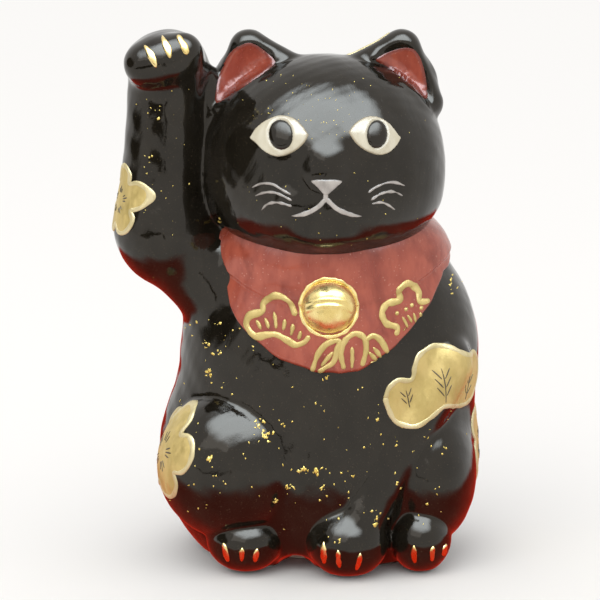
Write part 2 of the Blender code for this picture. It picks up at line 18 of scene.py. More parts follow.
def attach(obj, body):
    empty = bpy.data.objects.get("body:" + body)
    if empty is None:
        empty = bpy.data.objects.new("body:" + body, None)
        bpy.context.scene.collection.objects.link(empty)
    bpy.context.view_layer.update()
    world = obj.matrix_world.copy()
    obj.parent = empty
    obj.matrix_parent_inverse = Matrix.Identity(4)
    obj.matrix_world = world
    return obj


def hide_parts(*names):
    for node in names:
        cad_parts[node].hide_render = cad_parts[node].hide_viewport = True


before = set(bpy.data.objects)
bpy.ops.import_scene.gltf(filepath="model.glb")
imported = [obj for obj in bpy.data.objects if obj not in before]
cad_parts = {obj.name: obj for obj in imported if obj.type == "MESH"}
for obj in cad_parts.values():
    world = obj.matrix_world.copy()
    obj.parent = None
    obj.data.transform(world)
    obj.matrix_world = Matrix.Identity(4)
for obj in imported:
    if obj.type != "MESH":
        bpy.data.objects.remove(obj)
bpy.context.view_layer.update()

# %% [markdown]
# ## Clay as numbers
# A potter's model is built from pressed lumps of clay whose joins are smoothed with a wet finger. The
# same can be done with distances: each lump says how far a point lies outside it, and a soft minimum
# melts two lumps together. The tables below are in millimetres, because that is how a potter would
# measure a figure this small.

# %% Units and the place of the clay
MM = 0.001
FACE_X = 5.5                            # the face looks out a little to the cat's left of the middle
CLAY_SHIFT = np.array((0.47, -2.06, 0.0))   # from the clay's own axes to the frame's
FINE_VOXEL = 0.47
DISC_CENTRE = np.array((5.0, 4.0))
WELL_RADII = np.array((18.95, 12.95))   # the opening in the foot that holds the closing disc
WELL_DEPTH = 3.4


def placed(points):
    """Clay millimetres to frame metres."""
    return (np.asarray(points, float) + CLAY_SHIFT) * MM


print("clay is sampled every", FINE_VOXEL, "mm")


# %% Balls, limbs and their blends
def ball(centre, radii, tilt=(0, 0, 0)):
    """An ellipsoid lump. tilt is in degrees about X, Y and Z."""
    turn = np.array(Euler([math.radians(angle) for angle in tilt]).to_matrix())
    middle = np.array(centre, float)
    radii = np.array(radii, float)

    def depth(points):
        local = (points - middle) @ turn
        near = np.linalg.norm(local / radii, axis=1)
        slope = np.linalg.norm(local / radii**2, axis=1)
        return near * (near - 1) / np.maximum(slope, 1e-9)

    depth.shells = [(middle, radii, turn)]
    return depth


def limb(start, end, start_radius, end_radius):
    """A round bar whose radius eases from one end to the other."""
    start = np.array(start, float)
    along = np.array(end, float) - start

    def radius_at(share):
        return start_radius + (end_radius - start_radius) * share * share * (3 - 2 * share)

    def depth(points):
        share = np.clip((points - start) @ along / (along @ along), 0, 1)
        return np.linalg.norm(points - start - share[:, None] * along, axis=1) - radius_at(share)

    depth.shells = [
        (start + along * share, np.full(3, radius_at(share)), np.eye(3)) for share in np.linspace(0, 1, 7)
    ]
    return depth


def joined(first, second, soft):
    """Union of two depths with a fillet of about this size."""
    meeting = np.maximum(soft - np.abs(first - second), 0) / soft
    return np.minimum(first, second) - meeting**3 * soft / 6


def carved(first, second, soft):
    """The first depth with the second taken out of it, the rim rounded."""
    return -joined(-first, second, soft)


def blended(lumps, points):
    """All the lumps melted together in order. A negative softness carves."""
    total = None
    for lump, soft in lumps:
        depth = lump(points)
        if total is None:
            total = depth
        elif soft > 0:
            total = joined(total, depth, soft)
        else:
            total = carved(total, depth, -soft)
    return total


print("a ball of radius 10 is", ball((0, 0, 0), (10, 10, 10))(np.array([[12.0, 0, 0]])), "mm away at 12 mm")

# %% [markdown]
# ## The six castings
# The head, the body, the raised arm, the ears and the tail are cast in their own moulds and stuck
# together with slip. Each list below holds the lumps of one casting. The second number is the softness of
# the join with the lumps before it.

# %% Lumps of the castings
HEAD = [
    (ball((FACE_X, -3.5, 92.0), (26.3, 23.5, 22.0)), 1),             # skull
    (ball((FACE_X, -5.0, 84.0), (25.4, 22.0, 15.5)), 8),             # cheeks
    (ball((FACE_X, -20.5, 83.5), (13.0, 7.5, 8.5)), 7),              # muzzle
    (limb((FACE_X, -19.4, 98.5), (FACE_X, -25.4, 94.0), 5.0, 3.6), 7),   # bridge of the nose
    (ball((FACE_X, -27.3, 91.4), (3.9, 2.5, 2.8)), 2.5),             # nose
    (ball((FACE_X - 5.0, -25.4, 84.6), (5.2, 2.9, 3.8)), 3),         # pads of the lip
    (ball((FACE_X + 5.0, -25.4, 84.6), (5.2, 2.9, 3.8)), 3),
    (ball((FACE_X, -24.2, 78.5), (6.0, 3.0, 3.0)), 4),               # chin
]
ARM = [
    (limb((-30.4, -3.0, 76.0), (-29.4, -3.5, 105.0), 10.0, 8.7), 1),      # forearm
    (ball((-29.0, -4.5, 111.4), (9.0, 9.0, 8.2)), 3),                # paw
    (ball((-29.6, -8.4, 113.3), (8.2, 7.2, 5.6)), 3),                # back of the paw
    (ball((-19.6, -2.5, 103.0), (3.0, 4.5, 8.0)), 4),                # web beside the head
    (limb((-33.8, -11.2, 112.6), (-25.6, -11.2, 115.4), 4.3, 4.3), 4.0),  # curled fingers
    (ball((-30.2, -3.0, 75.0), (10.5, 11.5, 11.0)), 6),              # elbow
    (limb((-28.0, -2.0, 71.0), (-14.0, 0.0, 60.0), 9.5, 12.0), 6),   # upper arm
]
TORSO = [
    (ball((6.7, 2.0, 46.0), (33.6, 25.5, 34.0)), 1),                 # chest and shoulders
    (ball((4.3, 4.0, 22.5), (36.3, 27.5, 33.0)), 8),                 # lower body
    (ball((6.0, 0.0, 70.0), (25.5, 20.0, 12.0)), 6),                 # neck
    (ball((-15.0, -11.5, 23.0), (16.8, 15.5, 17.0)), 1.6),           # right thigh
    (ball((-12.0, -14.5, 6.8), (8.9, 10.5, 7.2)), 1.6),              # right hind paw
    (ball((28.5, -4.5, 20.0), (11.3, 17.0, 17.0)), 2.5),             # left thigh
    (ball((26.8, -14.5, 7.2), (7.0, 9.5, 7.8)), 2.0),                # left hind paw
    (limb((31.0, -10.0, 46.0), (13.5, -20.0, 12.0), 7.3, 5.6), 2),   # left foreleg
    (ball((10.6, -19.0, 7.4), (9.2, 9.5, 7.8)), 2.0),                # left forepaw
    (ball((-1.0, -21.0, -1.0), (5.0, 14.0, 4.5)), -3.0),             # arch between the paws
]
TAIL = [
    (limb((17.5, 24.0, 9.5), (11.0, 27.2, 8.5), 5.2, 5.0), 1),
    (limb((11.0, 27.2, 8.5), (2.0, 29.6, 9.0), 5.0, 4.7), 3),
    (limb((2.0, 29.6, 9.0), (-6.5, 28.4, 13.5), 4.7, 4.0), 3),
]


def ear(side):
    """side is -1 for the cat's right ear and 1 for its left."""
    def out(offset):
        return FACE_X + side * offset

    return [
        (limb((out(5.0), -2.0, 108.5), (out(16.6), -1.5, 115.0), 4.2, 4.0), 1),      # inner rim
        (limb((out(22.0), -2.0, 103.0), (out(17.0), -1.5, 114.8), 4.2, 4.2), 2.0),   # outer rim
        (ball((out(15.0), 0.0, 106.5), (10.0, 4.4, 9.5)), 2.0),                      # back of the ear
        (ball((out(17.0), -8.8, 109.0), (8.2, 6.3, 9.6), (0, side * -30, 0)), -1.2),  # hollow
    ]


CASTINGS = {
    "torso_casting": TORSO,
    "head_casting": HEAD,
    "raised_arm_casting": ARM,
    "right_ear_casting": ear(-1),
    "left_ear_casting": ear(1),
    "tail_casting": TAIL,
}
MELT = {  # softness of the fillet where each casting meets those before it
    "head_casting": 2.6,
    "raised_arm_casting": 4.5,
    "right_ear_casting": 1.6,
    "left_ear_casting": 1.6,
    "tail_casting": 1.5,
}
print({name: len(lumps) for name, lumps in CASTINGS.items()})

# %% [markdown]
# ## Small marks of the modelling tool
# The sculptor raised the eyeballs, drew a ridge below each ear and left a soft wave in the whole surface.
# These marks are too fine for the CAD model, so they are added to the same clay here. They change the
# surface by less than a millimetre, and a glossy glaze shows every bit of it.

# %% Eyeballs, ridges and the hand's waver
EYES = [   # middle (across, up) and half sizes of each eyeball
    ((-4.6, 99.0), (6.6, 4.3)),
    ((16.1, 99.0), (6.2, 4.2)),
]
RIDGES = [   # lines on the front of the head (across, up), their half width, and how far they stand proud
    ([(-5.6, 112.9), (-10.1, 109.7), (-14.5, 106.3), (-18.4, 102.5)], 1.0, 0.45),
    ([(16.1, 113.8), (21.3, 110.2), (25.8, 106.3), (29.6, 101.8)], 1.0, 0.45),
]


def line_gap(line, across, up):
    """Distance in the front view to a run of straight pieces."""
    nearest = np.full(len(across), 99.0)
    for start, end in zip(line[:-1], line[1:]):
        way = np.subtract(end, start)
        share = ((across - start[0]) * way[0] + (up - start[1]) * way[1]) / (way @ way)
        share = np.clip(share, 0, 1)
        nearest = np.minimum(
            nearest, np.hypot(across - start[0] - share * way[0], up - start[1] - share * way[1]),
        )
    return nearest


def tool_marks(points):
    """How much clay the tool takes away, in millimetres. A raised mark takes away less than nothing."""
    total = np.zeros(len(points))
    near = np.nonzero((points[:, 2] > 90) & (points[:, 1] < -1))[0]
    across, up = points[near, 0], points[near, 2]
    for line, width, proud in RIDGES:
        total[near] -= proud * np.exp(-((line_gap(line, across, up) / width) ** 2))
    for (middle, height), (wide, high) in EYES:
        ring = np.hypot((across - middle) / wide, (up - height) / high)
        total[near] -= 0.6 * np.exp(-(ring**4))
    return total


def waver(points):
    """Soft hills about a centimetre long that a hand leaves on clay."""
    x, y, z = (points[:, axis] for axis in range(3))
    hills = np.sin(0.61 * x + 0.35 * z + 1.3) * np.sin(0.52 * y - 0.48 * z + 0.7)
    ripples = np.sin(1.21 * x - 0.83 * y + 2.1) * np.sin(1.07 * z + 0.93 * y)
    return 0.055 * hills + 0.022 * ripples


print("the ridges stand", max(proud for _, _, proud in RIDGES), "mm proud")


# %% The whole skin as one depth
def depths_of_castings(points):
    return {name: blended(lumps, points) for name, lumps in CASTINGS.items()}


def well(points):
    """The opening in the foot."""
    reach = np.linalg.norm((points[:, :2] - DISC_CENTRE) / WELL_RADII, axis=1)
    return np.maximum((reach - 1) * WELL_RADII.min(), points[:, 2] - WELL_DEPTH)


def skin(points):
    """Distance outside the surface of the whole cat."""
    depths = depths_of_castings(points)
    total = depths["torso_casting"]
    for name, soft in MELT.items():
        total = joined(total, depths[name], soft)
    total = total + tool_marks(points) + waver(points) + 0.06
    total = carved(total, points[:, 2], 1.0)
    return carved(total, well(points), 0.5)


def steepest(field, points, step=0.04):
    slope = np.empty_like(points)
    for axis in range(3):
        ahead = points.copy()
        ahead[:, axis] += step
        behind = points.copy()
        behind[:, axis] -= step
        slope[:, axis] = (field(ahead) - field(behind)) / (2 * step)
    return slope


def settled(field, points, passes):
    """Points eased onto the surface where the field is zero."""
    for _ in range(passes):
        slope = steepest(field, points)
        move = field(points) / np.maximum((slope * slope).sum(axis=1), 0.05)
        points = points - slope * np.clip(move, -1.5, 1.5)[:, None]
    return points


print("depth at the tip of the nose:", skin(np.array([[FACE_X, -29.5, 91.4]])).round(2), "mm")


# %% Mesh helpers
def points_of(mesh):
    flat = np.empty(len(mesh.vertices) * 3)
    mesh.vertices.foreach_get("co", flat)
    return flat.reshape(-1, 3)


def quads_of(mesh):
    flat = np.empty(len(mesh.polygons) * 4, np.int64)
    mesh.polygons.foreach_get("vertices", flat)
    return flat.reshape(-1, 4)


def place_points(mesh, points):
    mesh.vertices.foreach_set("co", points.astype(np.float32).ravel())
    mesh.update()


def with_modifier(mesh, kind, **settings):
    """The mesh after one modifier."""
    holder = bpy.data.objects.new("holder", mesh)
    bpy.context.scene.collection.objects.link(holder)
    modifier = holder.modifiers.new(kind, kind)
    for name, value in settings.items():
        setattr(modifier, name, value)
    bpy.context.view_layer.update()
    graph = bpy.context.evaluated_depsgraph_get()
    result = bpy.data.meshes.new_from_object(holder.evaluated_get(graph))
    bpy.data.objects.remove(holder)
    return result


def rough_mesh(lumps):
    """Spheres standing where the lumps are, in millimetres."""
    bm = bmesh.new()
    for lump, soft in lumps:
        if soft < 0:
            continue
        for middle, radii, turn in lump.shells:
            place = Matrix.Translation(Vector(middle)) @ Matrix(turn.tolist()).to_4x4()
            place = place @ Matrix.Diagonal((*radii, 1))
            bmesh.ops.create_uvsphere(bm, u_segments=20, v_segments=12, radius=1, matrix=place)
    mesh = bpy.data.meshes.new("rough")
    bm.to_mesh(mesh)
    bm.free()
    return mesh


print("helpers ready")

# %% [markdown]
# ## Pull one skin over all the clay
# If every casting were meshed by itself, a bright line of light would break at each join. The real joins
# are wiped smooth before glazing, so one fine skin is grown over the whole cat first. A voxel remesh
# gives even quads, and a few Newton steps settle them exactly on the clay. Only then is the skin divided
# among the castings.

# %% Grow the skin
ROUGH_VOXEL = 1.5
all_lumps = [pair for lumps in CASTINGS.values() for pair in lumps]
whole = with_modifier(rough_mesh(all_lumps), "REMESH", mode="VOXEL", voxel_size=ROUGH_VOXEL)
start = points_of(whole)
start[:, 2] = np.where(well(start) < 0, WELL_DEPTH, np.maximum(start[:, 2], 0))
place_points(whole, settled(skin, start, 9))
whole = with_modifier(whole, "REMESH", mode="VOXEL", voxel_size=FINE_VOXEL)
clay_points = settled(skin, points_of(whole), 4)
clay_quads = quads_of(whole)
print("skin:", len(clay_points), "points,", len(clay_quads), "quads")

# %% [markdown]
# ## Divide the skin among the castings
# Every face goes to the casting whose clay is nearest. The points along each border then slide in the
# surface onto the line where two castings are equally near, so the border is a clean curve. Both sides
# keep the same points and the same normals, taken from the slope of the clay, and the join can't be seen
# in the reflections.

# %% Share out the faces
CASTING_NAMES = list(CASTINGS)


def nearness(points):
    depths = depths_of_castings(points)
    return np.stack([depths[name] for name in CASTING_NAMES], axis=1)


face_owner = nearness(clay_points[clay_quads].mean(axis=1)).argmin(axis=1)
low_owner = np.full(len(clay_points), 99)
high_owner = np.full(len(clay_points), -1)
for corner in range(4):
    np.minimum.at(low_owner, clay_quads[:, corner], face_owner)
    np.maximum.at(high_owner, clay_quads[:, corner], face_owner)
border_points = np.nonzero(low_owner != high_owner)[0]
first_owner = low_owner[border_points]
second_owner = high_owner[border_points]
rows = np.arange(len(border_points))


def balance(points):
    table = nearness(points)
    return table[rows, first_owner] - table[rows, second_owner]


for _ in range(3):
    spots = clay_points[border_points]
    outward = steepest(skin, spots)
    outward /= np.linalg.norm(outward, axis=1)[:, None]
    lean = steepest(balance, spots)
    lean -= outward * (lean * outward).sum(axis=1)[:, None]
    step = lean * (balance(spots) / np.maximum((lean * lean).sum(axis=1), 0.02))[:, None]
    length = np.maximum(np.linalg.norm(step, axis=1), 1e-9)
    step *= (np.minimum(length, FINE_VOXEL * 0.5) / length)[:, None]
    clay_points[border_points] = settled(skin, spots - step, 1)

clay_normals = steepest(skin, clay_points)
clay_normals /= np.maximum(np.linalg.norm(clay_normals, axis=1), 1e-9)[:, None]
CLAY_TREE = BVHTree.FromPolygons(clay_points.tolist(), clay_quads.tolist())
print({name: int((face_owner == index).sum()) for index, name in enumerate(CASTING_NAMES)})

# %% [markdown]
# ## Effects that several materials share
# Fired glaze is never one flat colour. It carries fine iron specks, it runs thin and thick, and brushed
# enamel keeps the drag of the brush and a darker line where it pooled. Each effect is a node group with
# named inputs, so that every material can use it with values of its own.


# %% Build the shared node groups
def new_group(name, inputs, outputs):
    """inputs are (label, value); outputs are (label, kind)."""
    group = bpy.data.node_groups.new(name, "ShaderNodeTree")
    for label, value in inputs:
        socket = group.interface.new_socket(label, in_out="INPUT", socket_type="NodeSocketFloat")
        socket.default_value = value
    for label, kind in outputs:
        group.interface.new_socket(label, in_out="OUTPUT", socket_type="NodeSocket" + kind)
    return group, group.nodes.new("NodeGroupInput"), group.nodes.new("NodeGroupOutput")


def node(tree, kind, links=None, **settings):
    """A node with its settings. links maps an input to a fixed value or to the socket that drives it."""
    made = tree.nodes.new(kind)
    for name, value in settings.items():
        setattr(made, name, value)
    for label, source in (links or {}).items():
        socket = made.inputs[label]
        if isinstance(source, bpy.types.NodeSocket):
            tree.links.new(source, socket)
        else:
            socket.default_value = source
    return made


def ramp(tree, value, low, high, low_out=0.0, high_out=1.0):
    """value eased from one range to another."""
    made = node(tree, "ShaderNodeMapRange", {"Value": value}, interpolation_type="SMOOTHSTEP")
    made.inputs["From Min"].default_value = low
    made.inputs["From Max"].default_value = high
    made.inputs["To Min"].default_value = low_out
    made.inputs["To Max"].default_value = high_out
    return made.outputs["Result"]


def maths(tree, operation, first, second=0.0):
    return node(tree, "ShaderNodeMath", {0: first, 1: second}, operation=operation).outputs[0]


def speckle_group():
    """Iron specks and pinholes of a fired glaze. Sizes are in specks for each metre."""
    group, start, end = new_group(
        "fired_speckle", [("Scale", 1500.0), ("Coverage", 0.3)], [("Specks", "Float"), ("Grain", "Float")]
    )
    place = node(group, "ShaderNodeTexCoord").outputs["Object"]
    cells = node(
        group, "ShaderNodeTexVoronoi", {"Vector": place, "Scale": start.outputs["Scale"], "Randomness": 1.0}
    )
    chosen = node(
        group, "ShaderNodeTexNoise", {"Vector": place, "Scale": start.outputs["Scale"], "Detail": 2.0}
    ).outputs["Fac"]
    threshold = maths(group, "SUBTRACT", 0.72, maths(group, "MULTIPLY", start.outputs["Coverage"], 0.35))
    dots = maths(group, "SUBTRACT", 1.0, ramp(group, cells.outputs["Distance"], 0.16, 0.34))
    picked = maths(group, "GREATER_THAN", chosen, threshold)
    specks = maths(group, "MULTIPLY", dots, picked)
    grain = node(
        group, "ShaderNodeTexNoise",
        {"Vector": place, "Scale": maths(group, "MULTIPLY", start.outputs["Scale"], 1.7), "Detail": 3.0},
    ).outputs["Fac"]
    group.links.new(specks, end.inputs["Specks"])
    group.links.new(grain, end.inputs["Grain"])
    return group


def flow_group():
    """Where the glaze ran thick and thin, in soft patches."""
    group, start, end = new_group("glaze_flow", [("Scale", 90.0), ("Contrast", 1.0)], [("Flow", "Float")])
    place = node(group, "ShaderNodeTexCoord").outputs["Object"]
    drawn = node(group, "ShaderNodeMapping", {"Vector": place, "Scale": (1.0, 1.0, 0.55)}).outputs[0]
    patches = node(
        group, "ShaderNodeTexNoise",
        {
            "Vector": drawn, "Scale": start.outputs["Scale"], "Detail": 4.0, "Roughness": 0.55,
            "Distortion": 0.4,
        },
    ).outputs["Fac"]
    centred = maths(group, "SUBTRACT", patches, 0.5)
    spread = maths(group, "MULTIPLY", centred, start.outputs["Contrast"])
    flow = maths(group, "ADD", spread, 0.5)
    group.links.new(flow, end.inputs["Flow"])
    return group


def brush_group():
    """Drag of the brush, and the darker line where enamel pooled along its edge. Edge is in millimetres."""
    group, start, end = new_group(
        "brush_drag",
        [("Scale", 700.0), ("Stretch", 0.2), ("Edge", 0.5)],
        [("Drag", "Float"), ("Pool", "Float")],
    )
    place = node(group, "ShaderNodeTexCoord").outputs["Object"]
    squeeze = node(
        group, "ShaderNodeCombineXYZ", {"X": 1.0, "Y": 1.0, "Z": start.outputs["Stretch"]},
    ).outputs[0]
    pulled = node(group, "ShaderNodeVectorMath", {0: place, 1: squeeze}, operation="MULTIPLY").outputs[0]
    drag = node(
        group, "ShaderNodeTexNoise", {"Vector": pulled, "Scale": start.outputs["Scale"], "Detail": 3.0}
    ).outputs["Fac"]
    inside = node(group, "ShaderNodeAttribute", attribute_name="from_edge").outputs["Fac"]
    share = maths(group, "DIVIDE", inside, start.outputs["Edge"])
    pool = maths(group, "SUBTRACT", 1.0, ramp(group, share, 0.15, 1.0))
    group.links.new(drag, end.inputs["Drag"])
    group.links.new(pool, end.inputs["Pool"])
    return group


SPECKLE = speckle_group()
FLOW = flow_group()
BRUSH = brush_group()
print("groups:", [group.name for group in bpy.data.node_groups])

# %% [markdown]
# ## Glazes, enamels, gold and bare clay
# The black is a thick iron glaze: almost black in itself, brown where it is thin, and as glossy as glass.
# The red and the creams are enamels fired on top at a lower heat, so they are a little softer in shine.
# The gold is powdered metal in oil, satin where it was brushed on and bright where it is leaf.


# %% Material helpers
def new_material(name, roughness, **sockets):
    """A Principled material. Constant sockets are set on the shader itself."""
    material = bpy.data.materials.new(name)
    material.use_nodes = True
    shader = material.node_tree.nodes["Principled BSDF"]
    shader.inputs["Roughness"].default_value = roughness
    for label, value in sockets.items():
        shader.inputs[label.replace("_", " ")].default_value = value
    return material, material.node_tree, shader


def use_group(tree, group, **values):
    made = tree.nodes.new("ShaderNodeGroup")
    made.node_tree = group
    for label, value in values.items():
        made.inputs[label].default_value = value
    return made.outputs


def colour_mix(tree, share, first, second):
    """first where share is 0, second where it is 1."""
    made = tree.nodes.new("ShaderNodeMix")
    made.data_type = "RGBA"
    tree.links.new(share, made.inputs["Factor"])
    colours = [socket for socket in made.inputs if socket.type == "RGBA"]
    for socket, source in zip(colours, (first, second)):
        if isinstance(source, bpy.types.NodeSocket):
            tree.links.new(source, socket)
        else:
            socket.default_value = (*source, 1.0)
    return [socket for socket in made.outputs if socket.type == "RGBA"][0]


def bumped(tree, shader, height, distance, strength=1.0):
    bump = node(tree, "ShaderNodeBump", {"Height": height, "Distance": distance, "Strength": strength})
    tree.links.new(bump.outputs["Normal"], shader.inputs["Normal"])


print("material helpers ready")


# %% Black glaze
def black_glaze():
    material, tree, shader = new_material("black_glaze", 0.05, IOR=1.45)
    # Iron in the glaze warms what it mirrors.
    shader.inputs["Specular Tint"].default_value = (1.0, 0.94, 0.86, 1.0)
    specks = use_group(tree, SPECKLE, Scale=2300.0, Coverage=0.35)
    flow = use_group(tree, FLOW, Scale=150.0, Contrast=1.7)["Flow"]
    body = colour_mix(tree, flow, (0.0050, 0.0042, 0.0028), (0.0170, 0.0140, 0.0098))
    speck_share = maths(tree, "MULTIPLY", specks["Specks"], 0.55)
    tree.links.new(colour_mix(tree, speck_share, body, (0.085, 0.064, 0.040)), shader.inputs["Base Color"])
    dulled = maths(
        tree, "ADD", ramp(tree, flow, 0.2, 0.8, 0.035, 0.07),
        maths(tree, "MULTIPLY", specks["Specks"], 0.06),
    )
    tree.links.new(dulled, shader.inputs["Roughness"])
    height = maths(
        tree, "ADD", maths(tree, "MULTIPLY", specks["Grain"], 0.25), maths(tree, "MULTIPLY", flow, 3.0),
    )
    bumped(tree, shader, height, 0.00006, 0.5)
    return material


# %% Red, cream and pale enamels
def enamel(name, thin, thick, pooled, roughness, speck_colour, specks_shown, edge, stretch=0.4):
    material, tree, shader = new_material(name, roughness, IOR=1.5)
    brush = use_group(tree, BRUSH, Scale=420.0, Stretch=stretch, Edge=edge)
    specks = use_group(tree, SPECKLE, Scale=1500.0, Coverage=0.35)
    flow = use_group(tree, FLOW, Scale=130.0, Contrast=1.8)["Flow"]
    body = colour_mix(tree, ramp(tree, brush["Drag"], 0.3, 0.7), thin, thick)
    body = colour_mix(tree, maths(tree, "MULTIPLY", ramp(tree, flow, 0.55, 0.85), 0.6), body, pooled)
    body = colour_mix(tree, maths(tree, "MULTIPLY", brush["Pool"], 0.85), body, pooled)
    body = colour_mix(tree, maths(tree, "MULTIPLY", specks["Specks"], specks_shown), body, speck_colour)
    tree.links.new(body, shader.inputs["Base Color"])
    tree.links.new(
        ramp(tree, brush["Drag"], 0.25, 0.75, roughness * 0.75, roughness * 1.3),
        shader.inputs["Roughness"],
    )
    height = maths(tree, "ADD", brush["Drag"], maths(tree, "MULTIPLY", specks["Grain"], 0.35))
    bumped(tree, shader, height, 0.00008, 0.55)
    return material


# %% Brushed gold, leaf gold, ink and bare clay
def gold(name, bright, shade, roughness, scale=900.0, metal=1.0):
    material, tree, shader = new_material(name, roughness, Metallic=metal)
    brush = use_group(tree, BRUSH, Scale=scale, Stretch=0.5, Edge=0.35)
    flow = use_group(tree, FLOW, Scale=260.0, Contrast=1.6)["Flow"]
    body = colour_mix(tree, ramp(tree, flow, 0.3, 0.75), bright, shade)
    body = colour_mix(tree, maths(tree, "MULTIPLY", brush["Drag"], 0.35), body, shade)
    tree.links.new(body, shader.inputs["Base Color"])
    rough = ramp(tree, brush["Drag"], 0.3, 0.7, roughness * 0.7, roughness * 1.4)
    tree.links.new(rough, shader.inputs["Roughness"])
    bumped(tree, shader, brush["Drag"], 0.00012, 0.6)
    return material


def bare_clay():
    material, tree, shader = new_material("bare_clay", 0.85, IOR=1.45)
    specks = use_group(tree, SPECKLE, Scale=1100.0, Coverage=0.5)
    flow = use_group(tree, FLOW, Scale=150.0, Contrast=1.4)["Flow"]
    body = colour_mix(tree, flow, (0.64, 0.56, 0.45), (0.76, 0.70, 0.60))
    body = colour_mix(tree, maths(tree, "MULTIPLY", specks["Specks"], 0.6), body, (0.35, 0.24, 0.15))
    tree.links.new(body, shader.inputs["Base Color"])
    tree.links.new(ramp(tree, flow, 0.2, 0.8, 0.78, 0.92), shader.inputs["Roughness"])
    bumped(tree, shader, specks["Grain"], 0.00015, 0.8)
    return material


LOOKS = {
    "black_glaze": black_glaze(),
    "red_glaze": enamel(
        "red_glaze", (0.410, 0.094, 0.056), (0.310, 0.060, 0.036), (0.165, 0.020, 0.009), 0.22,
        (0.62, 0.30, 0.22), 0.45, 0.9,
    ),
    "cream_enamel": enamel(
        "cream_enamel", (0.70, 0.66, 0.53), (0.62, 0.57, 0.43), (0.42, 0.34, 0.22), 0.14,
        (0.40, 0.30, 0.18), 0.12, 0.45,
    ),
    "pale_enamel": enamel(
        "pale_enamel", (0.50, 0.465, 0.43), (0.38, 0.35, 0.325), (0.20, 0.18, 0.165), 0.28,
        (0.25, 0.20, 0.16), 0.25, 0.25,
    ),
    "gold_enamel": gold("gold_enamel", (0.62, 0.47, 0.175), (0.48, 0.36, 0.115), 0.48, metal=0.30),
    "claw_gold": gold("claw_gold", (0.90, 0.72, 0.34), (0.75, 0.55, 0.20), 0.24),
    "gold_leaf": gold("gold_leaf", (0.90, 0.72, 0.20), (0.72, 0.52, 0.10), 0.34, 2600.0, 0.35),
    "bell_gold": gold("bell_gold", (0.94, 0.78, 0.36), (0.74, 0.56, 0.20), 0.25, 600.0, 0.8),
    "gold_rim": gold("gold_rim", (0.68, 0.58, 0.34), (0.54, 0.45, 0.22), 0.46, metal=0.30),
    "ink": enamel(
        "ink", (0.060, 0.050, 0.034), (0.085, 0.070, 0.045), (0.030, 0.024, 0.016), 0.4,
        (0.30, 0.24, 0.10), 0.3, 0.1,
    ),
    "bare_clay": bare_clay(),
}
print("materials:", list(LOOKS))


# %% [markdown]
# ## Make the six glazed castings
# Each casting takes its share of the skin. The foot, where the glaze is wiped off so that the cat doesn't
# stick to the kiln shelf, shows the bare clay.


# %% Cut out and place the castings
def add_piece(name, mesh, look, replaces=()):
    """A mesh in frame metres becomes a named piece that rides on the frame."""
    if not len(mesh.materials):
        mesh.materials.append(LOOKS[look])
    mesh.shade_smooth()
    piece = bpy.data.objects.new(name, mesh)
    bpy.context.scene.collection.objects.link(piece)
    if replaces:
        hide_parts(*replaces)
    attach(piece, "root")
    return piece


def casting(index, name):
    faces = clay_quads[face_owner == index]
    used, flat = np.unique(faces, return_inverse=True)
    faces = flat.reshape(-1, 4)
    spots = clay_points[used]
    mesh = bpy.data.meshes.new(name)
    mesh.from_pydata(placed(spots).tolist(), [], faces.tolist())
    mesh.materials.append(LOOKS["black_glaze"])
    mesh.materials.append(LOOKS["bare_clay"])
    low = spots[faces].mean(axis=1)
    bare = (low[:, 2] < 0.12) | ((well(low) < 0.4) & (low[:, 2] < WELL_DEPTH + 0.5))
    mesh.polygons.foreach_set("material_index", bare.astype(np.int32))
    add_piece("glazed_" + name, mesh, None, [name])
    mesh.normals_split_custom_set_from_vertices(clay_normals[used].tolist())
    print(name, len(faces), "quads,", int(bare.sum()), "of them bare")


for index, name in enumerate(CASTING_NAMES):
    casting(index, name)

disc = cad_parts["base_disc"]
for slot in disc.material_slots:
    slot.material = LOOKS["bare_clay"]
if not disc.material_slots:
    disc.data.materials.append(LOOKS["bare_clay"])

# %% [markdown]
# ## Lay paint on the skin
# Enamel is a thin raised film that follows the clay under it. A brush works in a flat outline: each point
# of the outline is dropped onto the skin along the painter's line of sight, and the film stands a
# fraction of a millimetre above it, rounded at its edges like a drop. Its rim is sunk a little, so that
# no gap shows.

# %% Drop points onto a surface
FRONT = ((1, 0, 0), (0, 0, 1))          # seen from the front: across, up


def from_side(angle):
    """A view turned by this many degrees about the upright axis: negative looks at the cat's right side."""
    turn = math.radians(angle)
    return ((math.cos(turn), math.sin(turn), 0), (0, 0, 1))


def dropped(flat, view, tree):
    """Places (across, up) dropped onto a surface along the view, with the outward normals."""
    across = Vector(view[0])
    up = Vector(view[1])
    inward = up.cross(across)
    hits = []
    normals = []
    for a, b in flat:
        start = across * a + up * b - inward * 120
        place, normal, _, _ = tree.ray_cast(start, inward)
        if place is None:
            place, normal, _, _ = tree.find_nearest(across * a + up * b - inward * 30)
        hits.append(tuple(place))
        normals.append(tuple(normal))
    normals = np.array(normals)
    facing = np.sign(normals @ -np.array(inward))
    normals *= np.where(facing == 0, 1, facing)[:, None]
    return np.array(hits), normals


print("a drop from the front meets the chest at", dropped([(6, 40)], FRONT, CLAY_TREE)[0].round(1))


# %% Outlines, pads and strokes
def distance_to(outline, places):
    """Distance of many places to a closed outline."""
    corners = np.array(outline, float)
    along = np.roll(corners, -1, axis=0) - corners
    offset = places[:, None, :] - corners[None]
    share = np.clip((offset * along).sum(axis=2) / (along * along).sum(axis=1), 0, 1)
    return np.linalg.norm(offset - along * share[..., None], axis=2).min(axis=1)


